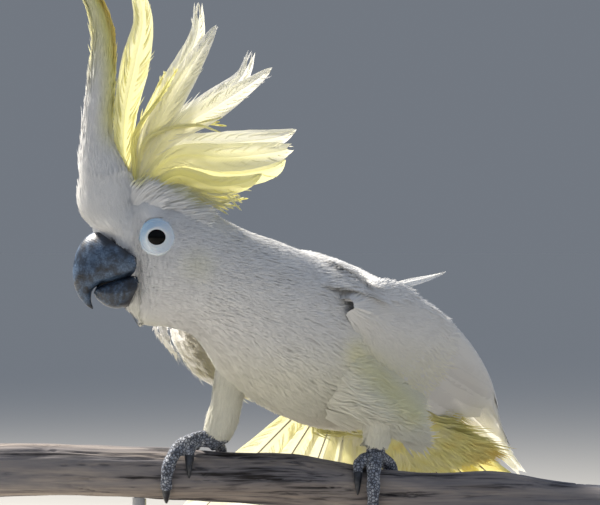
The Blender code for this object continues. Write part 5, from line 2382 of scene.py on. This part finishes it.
# ---- bill and eyes ----
@dataclass(frozen=True)
class Face:
    """The bill, the mouth, the eyes and the bare lids round them."""

    # Outer ridge x, z, then inner edge x, z, then half width.
    upper: tuple[tuple[float, ...], ...] = (
        (-114, 137.5, -88, 120, 13.8),
        (-120.5, 133, -88.5, 115.5, 14.4),
        (-125, 126, -93.5, 111.5, 13.4),
        (-127.2, 117, -103, 109, 11.4),
        (-127, 108.5, -110, 107.8, 8.8),
        (-124.6, 101.5, -115.6, 104.6, 5.4),
        (-120.6, 96.2, -117, 99, 2.5),
        (-116.4, 93.2, -115.8, 93.9, 0.5),
    )
    lower: tuple[tuple[float, ...], ...] = (
        (-96, 94.6, -86.5, 114, 13.4),
        (-103, 93.6, -95, 112, 12.4),
        (-109, 95.2, -103, 109.6, 10.6),
        (-113.4, 98.6, -109.5, 107.6, 8.2),
        (-115.6, 102.2, -113.8, 105.8, 5.4),
    )
    # x, z and radius from the root to the tip.
    tongue_line: tuple[tuple[float, float, float], ...] = (
        (-90, 108, 6),
        (-98, 108.6, 6.5),
        (-106, 107.6, 5.4),
        (-111.5, 106.2, 3.6),
        (-113.8, 105.4, 0.8),
    )
    growth_groove: float = 0.1  # depth of the bill's growth lines, mm
    growth_pitch: float = 1.1  # between them
    eye_centre: tuple[float, float, float] = (-79.3, -74.4, 133.5)
    eye_radius: float = 6.6
    opening: tuple[float, float] = (5, 4.35)  # half width and half height between the lids, mm
    lid_y: float = -79.45
    crease: float = 0.75  # between the rings of the bare skin, mm

    def half(self, table: Sequence[Sequence[float]], seed: int, flecks: float) -> Sheet:
        """Makes one half of the bill.

        Args:
            table: Its stations.
            seed: Seed of the wandering of its growth lines.
            flecks: How much its flecks darken it.

        Returns:
            The closed form. Its tint numbers darken the root and the cutting edges.
        """
        sides, count = 56, 130
        places = np.linspace(0, len(table) - 1, count)
        rows = curve(table, places)
        turns = np.linspace(0, TURN, sides, endpoint=False)
        c, s = np.cos(turns), np.sin(turns)
        rings = []
        wander = Ripple(seed, 9)
        for place, (ox, oz, ix, iz, half) in zip(places, rows):
            half = max(half, 0.45)
            middle = np.array([(ox + ix) / 2, MIDPLANE, (oz + iz) / 2])
            reach = np.array([ox - ix, 0, oz - iz]) / 2
            long = np.linalg.norm(reach)
            outward = reach / long
            boxy = 0.42 + 0.4 * ease(place, 0.5, 3.5)
            flat = np.where(c > 0, c, np.sign(c) * np.abs(c) ** boxy)
            wide = np.sign(s) * np.where(c > 0, np.abs(s), np.abs(s) ** boxy)
            ring = middle + outward * (long * flat)[:, None]
            ring = ring + ACROSS * (half * wide * (1 - 0.22 * np.maximum(c, 0)))[:, None]
            rings.append(ring)
        rings = np.array(rings)
        centre = rings.mean(axis=1, keepdims=True)
        phase = np.linalg.norm(np.diff(centre[:, 0], axis=0, prepend=centre[:1, 0]), axis=-1).cumsum()
        lines = np.sin(phase[:, None] * TURN / self.growth_pitch + 2.2 * wander.at(rings))
        fade = np.minimum(1, np.linalg.norm(rings - centre, axis=-1) / 4)
        shrink = self.growth_groove * (0.5 + 0.5 * lines) * fade
        rings = rings - unit(rings - centre) * shrink[..., None]
        made = tube_sheet(rings)
        along = np.linspace(0, 1, count)[:, None]
        rough = 0.06 * wander.at(rings)
        edges = 0.45 * ease(-np.broadcast_to(c, lines.shape), 0.35, 0.95)
        dark = np.maximum(1 - ease(along + rough, 0.02, 0.13), edges)
        dark = np.maximum(dark, 0.7 * ease(along, 0.86, 1))
        dark = np.maximum(dark, flecks * np.clip(0.55 + 0.6 * Ripple(seed + 4, 2.2).at(rings), 0, 1))
        made.tint = np.concatenate([dark.reshape(-1), [1, 1]])
        return made

    def tongue(self) -> Sheet:
        """Makes the thick tongue with the floor of the mouth.

        Returns:
            The closed form.
        """
        x, z, radius = np.array(self.tongue_line).T
        places = np.linspace(0, len(x) - 1, 24)
        points = curve(np.stack([x, np.full(len(x), MIDPLANE), z], axis=1), places)
        return tube_sheet(tube_rings(points, np.interp(places, np.arange(len(x)), radius), 24))

    def eye(self, mirror: bool) -> Sheet:
        """Makes one eyeball with the cornea's bulge.

        Args:
            mirror: Puts it on the far side of the head.

        Returns:
            The closed ball.
        """
        theta, phi = around(np.linspace(0.05, math.pi - 0.05, 40), 64)
        ball = np.stack([np.sin(theta) * np.cos(phi), -np.cos(theta), np.sin(theta) * np.sin(phi)], axis=-1)
        swell = 1 + 0.03 * ease(-ball[..., 1], 0.78, 1)
        points = np.asarray(self.eye_centre) + ball * (self.eye_radius * swell)[..., None]
        made = tube_sheet(points)
        return self.mirrored(made) if mirror else made

    @staticmethod
    def mirrored(sheet: Sheet) -> Sheet:
        """Moves a piece to the other side of the head.

        Args:
            sheet: The piece, which is changed.

        Returns:
            The same piece.
        """
        sheet.points = sheet.points * (1, -1, 1) + (0, 2 * MIDPLANE, 0)
        sheet.quads, sheet.tris = sheet.quads[:, ::-1], sheet.tris[:, ::-1]
        return sheet

    def ring(self, mirror: bool) -> Sheet:
        """Makes the lids and the creased bare skin round one eye.

        Args:
            mirror: Puts them on the far side of the head.

        Returns:
            An open sheet. Its tint numbers are 1 in the creases.
        """
        outer = RING_REACH + 1.9
        reach = np.concatenate([[-0.25, -0.12, 0, 0.12, 0.28], np.linspace(0.45, outer - 4.6, 78)])
        r, turn = around(reach, 120)
        rim = 1 / np.hypot(np.cos(turn) / self.opening[0], np.sin(turn) / self.opening[1])
        out = ease(r, 0, outer - 4.6)
        radius = (rim + r) * (1 - out) + (4.6 + r) * out
        x = EYE_PLACE[0] + radius * np.cos(turn)
        z = EYE_PLACE[1] + radius * np.sin(turn)
        head = BODYFORM.side_y(x, z)
        lid = self.lid_y + 1.1 * ((x - EYE_PLACE[0]) / 7) ** 2 - 0.25
        y = lid + (head + 0.25 - lid) * ease(r, 0.6, 4.6)
        y = y + 1.6 * ease(r, outer - 6, outer - 4.6)
        y = np.where(r < 0.06, y + np.interp(r, [-0.25, -0.12, 0.06], [1.4, 0.35, 0.02]), y)
        wobble = 0.5 * np.sin(3 * turn + 1) + 0.35 * np.sin(7 * turn) + 0.2 * np.sin(13 * turn + 2)
        ridge = np.sin((r + 0.12 * wobble) * TURN / self.crease)
        fade = ease(r, 0.2, 0.9) * (1 - 0.6 * ease(r, 4.2, 5.6))
        folds = 0.1 * np.sin(31 * turn + 2 * r) * ease(r, 0.5, 2)
        y = y - 0.15 * ridge * fade - folds * 0.5
        made = grid_sheet(np.stack([x, y, z], axis=-1), wrap=True)
        upper = (0.5 + 0.5 * np.cos(turn - 2.3)) ** 2
        blue = 0.1 - 0.2 * ridge * fade + 0.75 * upper * ease(r, 0.6, 2.2) - 0.3 * ease(-r, -0.9, 0.2)
        made.tint = np.clip(blue, 0, 1).reshape(-1)
        made.quads = made.quads[:, ::-1]
        return self.mirrored(made) if mirror else made

    def build(self, palette: Materials) -> None:
        """Makes bill, mouth, eyes and lids.

        Args:
            palette: The finishes.
        """
        halves = ("bill_upper", self.upper, 51, 0), ("bill_lower", self.lower, 52, 0.8)
        for name, table, seed, flecks in halves:
            settle(self.half(table, seed, flecks).make(f"{name}_horn", palette["horn"]), Slot.BILL, name)
        settle(self.tongue().make("tongue", palette["mouth"]), Slot.BILL)
        for side, mirror in (("left", False), ("right", True)):
            settle(self.eye(mirror).make(f"eyeball_{side}", palette["eye"]), Slot.EYE, f"eye_{side}")
            settle(self.ring(mirror).make(f"eye_ring_{side}", palette["ring"]), Slot.SKIN)


# ---- branch, feet and claws ----
@dataclass(frozen=True)
class Branch:
    """The cut length of weathered branch: uneven, fluted, and cracked along its grain."""

    # x along it, centre y, centre z, radius.
    stations: tuple[tuple[float, ...], ...] = (
        (-186, 1, 0.6, 15.4),
        (-150, 0, 0.8, 15.2),
        (-110, -1, -0.4, 14.8),
        (-76, 0, -2, 15.4),
        (-44, 1, -3.8, 15),
        (-4, 0.5, -5.2, 15.6),
        (18, 0, -9, 15.3),
        (40, 0, -13.4, 15),
        (78, 0, -16.6, 15.2),
        (112, 1, -16.8, 16.2),
        (146, 0, -20.8, 15.3),
        (186, -1, -24, 15.2),
    )
    length: float = 372
    crack_depth: float = 1.5

    def at(self, x: Array) -> Array:
        """Centre y, centre z and radius at each x."""
        xs = [row[0] for row in self.stations]
        return curve(self.stations, np.interp(x, xs, range(len(xs))))[..., 1:]

    def surface(self, x: Array, angle: Array) -> Array:
        """Places of the bare round with its flutes.

        Args:
            x: Place along the branch.
            angle: Place round it, in radians from +Y.

        Returns:
            The places.
        """
        y, z, radius = np.moveaxis(self.at(x), -1, 0)
        r = radius * (1 + 0.025 * np.sin(3 * angle + x / 31) + 0.02 * np.sin(2 * angle - x / 47))
        return np.stack([x, y + r * np.cos(angle), z + r * np.sin(angle)], axis=-1)

    def relief(self, points: Array, angle: Array) -> Array:
        """Depth cut into the wood: long cracks, shallow splits and worn grain.

        Args:
            points: Places on the round.
            angle: Their angle round the branch.

        Returns:
            A depth for each place, in millimetres.
        """
        x = points[..., 0]
        flat = np.stack([x / 15, 9 * np.cos(angle), 9 * np.sin(angle)], axis=-1)
        field = Ripple(401, 9).at(flat)
        second = Ripple(402, 5).at(flat * (1, 1.3, 1.3))
        grain = Ripple(403, 1.5, 12).at(flat * (1, 1, 1))
        crack = np.exp(-((field / 0.045) ** 2)) * ease(Ripple(404, 60).at(points), -0.15, 0.35)
        split = np.exp(-((second / 0.06) ** 2)) * ease(Ripple(405, 45).at(points), 0, 0.5)
        knot = near(points, (64, -13, -12), 9) - 1.6 * near(points, (64, -14, -12), 4.5)
        depth = self.crack_depth * crack + 0.7 * split + 0.28 * (grain + 1) * 0.8
        return depth + 0.25 * (second + 1) - 0.5 * knot

    def build(self, finish: bpy.types.Material) -> bpy.types.Object:
        """Makes the branch with its two sawn ends.

        Args:
            finish: Its material.

        Returns:
            The piece.
        """
        half = self.length / 2 - 0.2
        wall = np.linspace(-half + 1.5, half - 1.5, 560)
        xs, angle = around(np.concatenate([[-half, -half + 0.5], wall, [half - 0.5, half]]), 128)
        points = self.surface(xs, angle)
        y, z, _ = np.moveaxis(self.at(xs), -1, 0)
        centre = np.stack([xs, y, z], axis=-1)
        chamfer = 0.9 * (1 - ease(half - np.abs(xs), 0, 1.2))
        rings = points - unit(points - centre) * (self.relief(points, angle) + chamfer)[..., None]
        ends = []
        for edge, step in ((0, 1), (-1, -1)):
            hub, inset = centre[edge, :1], (0.0002 * step, 0, 0)
            out = rings[edge] - hub
            ends.append(np.array([hub + out * share + inset for share in (0.15, 0.4, 0.65, 0.85)]))
        rings = np.concatenate([ends[0], rings, ends[1][::-1]])
        return settle(tube_sheet(rings).make("branch", finish), Slot.BRANCH, "perch")


@dataclass(frozen=True)
class Feet:
    """Both scaly feet, two toes forward and two back each, with a hooked claw on every toe."""

    branch: Branch
    voxel: float = 0.55
    scute: float = 2.3  # between the cross plates on a toe, mm
    claw_length: float = 14
    claw_radius: float = 2.5
    claw_bend: float = 62  # degrees
    gap: float = 0.45  # between a toe and its claw, mm
    places: tuple[tuple[str, float], ...] = (("right", -53), ("left", 43.5))
    # Side splay at the tip, wrap angle round the branch (+ in front, - behind), base radius.
    toes: tuple[tuple[str, tuple[tuple[str, float, float, float], ...]], ...] = (
        ("right", (("outer_front", -23, 112, 4.5), ("inner_front", -10, 50, 4),
                   ("outer_back", -13, -104, 4.3), ("inner_back", 8, -60, 3.9))),
        ("left", (("outer_front", -2, 112, 4.6), ("inner_front", -10.5, 50, 4),
                  ("outer_back", 12, -104, 4.3), ("inner_back", -6, -60, 3.9))),
    )

    def toe_path(
        self, foot_x: float, splay: float, wrap: float, radius: float, order: int, t: Array
    ) -> tuple[Array, Array]:
        """The middle of one toe and its radius.

        Args:
            foot_x: Place of the foot along the branch.
            splay: Side reach of the tip.
            wrap: Angle round the branch at the tip.
            radius: Radius at the base.
            order: Number of the toe, which sets how deep it starts.
            t: Places from 0 at the base to 1 at the claw.

        Returns:
            Points and radii.
        """
        start = -0.05 - 0.03 * order
        t = start + (1 - start) * t
        x = foot_x + splay * (1 - np.sign(1 - t) * np.abs(1 - t) ** 2.6)
        y, z, wood = np.moveaxis(self.branch.at(x), -1, 0)
        angle = np.radians(wrap * t)
        r = radius * (1 - 0.3 * t)
        knuckle = 1 + 0.07 * np.cos(t * 6 * math.pi)
        lift = wood + r * 1.02 + 2 * np.exp(-((t / 0.25) ** 2)) + 1.4 * np.sin(math.pi * np.maximum(t, 0))
        return np.stack([x, y - lift * np.sin(angle), z + lift * np.cos(angle)], axis=-1), r * knuckle

    def toe(self, points: Array, radii: Array) -> Sheet:
        """Makes a toe with plates across its top and pads beneath.

        Args:
            points: Its middle line.
            radii: Its radii.

        Returns:
            The closed form.
        """
        sides = 32
        rings = tube_rings(points, radii, sides)
        far = np.linalg.norm(np.diff(points, axis=0, prepend=points[:1]), axis=-1).cumsum()
        y, z, _ = np.moveaxis(self.branch.at(points[:, 0]), -1, 0)
        outward = unit(points - np.stack([points[:, 0], y, z], axis=-1))
        away = unit(rings - points[:, None])
        top = (away * outward[:, None]).sum(-1)
        plate = np.abs(np.sin(far * math.pi / self.scute))[:, None] ** 0.5
        pad = np.abs(np.sin(far * math.pi / 6.2 + 0.4))[:, None]
        grown = 0.34 * (plate - 0.7) * ease(top, -0.2, 0.4) + 0.55 * (pad - 0.5) * ease(-top, 0.1, 0.7)
        return tube_sheet(rings + away * grown[..., None])

    def claw(self, points: Array) -> Sheet:
        """Makes the claw at the end of a toe, which hooks towards the wood.

        Args:
            points: The toe's middle line.

        Returns:
            The closed form, broad above and sharp at its tip.
        """
        end = points[-1]
        ahead = unit(points[-1] - points[-8])
        y, z, _ = self.branch.at(end[0])
        inward = np.array([0, y - end[1], z - end[2]])
        inward = unit(inward - ahead * (inward @ ahead))
        bend = math.radians(self.claw_bend)
        swing = self.claw_length / bend
        t = np.linspace(-0.08, 1, 34)
        arc = bend * t
        hook = swing * (1 - np.cos(arc)) * 0.6
        place = end + ahead * (self.gap + swing * np.sin(arc))[:, None] + inward * hook[:, None]
        radii = self.claw_radius * np.clip(1 - t, 0, 1) ** 0.75 + 0.22
        return tube_sheet(tube_rings(place, radii, 24))

    def build(self, palette: Materials) -> None:
        """Makes both feet and all claws.

        Args:
            palette: The finishes.
        """
        t = np.linspace(0, 1, 72)
        for side, foot_x in self.places:
            y, z, wood = self.branch.at(np.array(foot_x))
            sole = np.array([foot_x, y + 1, z + wood + 4.6])
            ankle = np.asarray(LEGS[side].table[-1][:3])
            above = ankle + unit(ankle - sole) * 6
            shank = above + (sole - above) * np.linspace(0, 1, 40)[:, None]
            girth = curve([[5.2], [5], [5.2], [5.8], [5.6]], np.linspace(0, 4, 40))[:, 0]
            sheets = [self.toe(shank, girth)]
            for order, (name, splay, wrap, radius) in enumerate(dict(self.toes)[side]):
                points, radii = self.toe_path(foot_x, splay, wrap, radius, order, t)
                sheets.append(self.toe(points, radii))
                hook = self.claw(points).make(f"claw_{side}_{name}_horn", palette["claw"])
                settle(hook, Slot.CLAW, f"claw_{side}_{name}")
            mesh = fused(f"foot_{side}_skin", sheets, self.voxel, 1)
            settle(make_object(mesh.name, mesh, palette["foot"]), Slot.FOOT, f"foot_{side}")


@dataclass(frozen=True)
class Stand:
    """The plain display stand. It keeps the frame's own solids and only gets its finishes."""

    nodes: tuple[tuple[str, str, Slot], ...] = (
        ("stand_base", "stained", Slot.WOOD),
        ("stand_rod_1", "steel", Slot.STEEL),
        ("stand_rod_2", "steel", Slot.STEEL),
    )

    def dress(self, shown: dict[str, bpy.types.Object], palette: Materials) -> None:
        """Gives the stand's solids their finishes.

        Args:
            shown: The frame's nodes by name.
            palette: The finishes.
        """
        for name, finish, slot in self.nodes:
            node = shown[name]
            for place in node.material_slots:
                place.material = palette[finish]
            LOG.info("%s: %s", name, finish)


# ---- studio ----
@dataclass(frozen=True)
class Lamp:
    """One soft area light."""

    name: str
    place: tuple[float, float, float]  # m
    size: float  # m
    power: float  # W
    colour: str = "#FFFFFF"

    def build(self, target: Vector) -> None:
        """Hangs the lamp and turns it to the model.

        Args:
            target: The place it shines at.
        """
        data = bpy.data.lights.new(self.name, "AREA")
        data.shape = "DISK"
        data.size = self.size
        data.energy = self.power
        data.color = linear(self.colour)[:3]
        lamp = bpy.data.objects.new(self.name, data)
        lamp.location = self.place
        lamp.rotation_euler = (target - lamp.location).to_track_quat("-Z", "Y").to_euler()
        bpy.context.scene.collection.objects.link(lamp)


@dataclass(frozen=True)
class Studio:
    """A plain pale floor, a warm key high behind on the left, soft light all round, and a level camera."""

    floor_size: float = 2400  # m
    camera_place: tuple[float, float, float] = (0, -2.397, 0.275)
    lens: float = 246.4
    film: float = 36
    farthest: float = 3000  # m, end of the camera's range
    target: tuple[float, float, float] = (0, 0, 0.22)
    lamps: tuple[Lamp, ...] = (
        Lamp("key", (-1.57, 0.98, 2.19), size=0.4, power=198, colour="#FFF8EE"),
        Lamp("front_fill", (0.9, -2.6, 1.5), size=2.2, power=1.2, colour="#E6EEFF"),
    )

    def surround(self) -> bpy.types.World:
        """Makes the light of the surround. Near the horizon it is as pale as the far floor, so no edge shows.

        Returns:
            The world.
        """
        world = bpy.data.worlds.new("studio_surround")
        world.use_nodes = True
        world.node_tree.nodes.clear()
        add = partial(add_node, world.node_tree)
        sky, floor = linear(SKY_COLOUR), linear(FLOOR_COLOUR)
        band = tuple(one * two * 0.985 for one, two in zip(sky, floor))
        way = add("TexCoord").outputs["Generated"]
        height = add("SeparateXYZ", {0: way}).outputs["Z"]
        level = add("Math", {0: height}, operation="ABSOLUTE")
        share = add("MapRange", {0: level, 1: 0.08, 2: 0.22})
        colour = add("Mix", {0: share, 6: band, 7: sky}, data_type="RGBA")
        light = add("Background", {"Color": colour})
        add("OutputWorld", {"Surface": light})
        return world

    def build(self, palette: Materials) -> None:
        """Sets up floor, surround, lamps and camera.

        Args:
            palette: The finishes.
        """
        half = self.floor_size / 2
        corners = [(-half, -half, 0), (half, -half, 0), (half, half, 0), (-half, half, 0)]
        mesh = bpy.data.meshes.new("studio_floor")
        mesh.from_pydata(corners, [], [(0, 1, 2, 3)])
        floor = make_object("studio_floor", mesh, palette["floor"])
        scene = bpy.context.scene
        scene.world = self.surround()
        scene.view_settings.view_transform = "Standard"
        for lamp in self.lamps:
            lamp.build(Vector(self.target))
        data = bpy.data.cameras.new("camera")
        data.lens = self.lens
        data.sensor_width = self.film
        data.clip_end = self.farthest
        camera = bpy.data.objects.new("camera", data)
        camera.location = self.camera_place
        camera.rotation_euler = (math.pi / 2, 0, 0)
        scene.collection.objects.link(camera)
        scene.camera = camera


def main() -> None:
    """Builds the model piece by piece over the frame."""
    logging.basicConfig(level=logging.INFO, format="%(name)s: %(message)s")
    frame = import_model()
    palette = Palette().build()
    coats = Coats()
    Skin().build(palette["down"])
    coats.build(palette["white"])
    Crest().build(coats.crest, palette)
    for side in WINGS:
        Wing(side).build(palette)
    StrayFeather().build(palette["white"])
    Tail().build(palette)
    Face().build(palette)
    branch = Branch()
    branch.build(palette["branch"])
    Feet(branch).build(palette)
    Stand().dress(frame["nodes"], palette)
    Studio().build(palette)


if __name__ == "__main__":
    main()
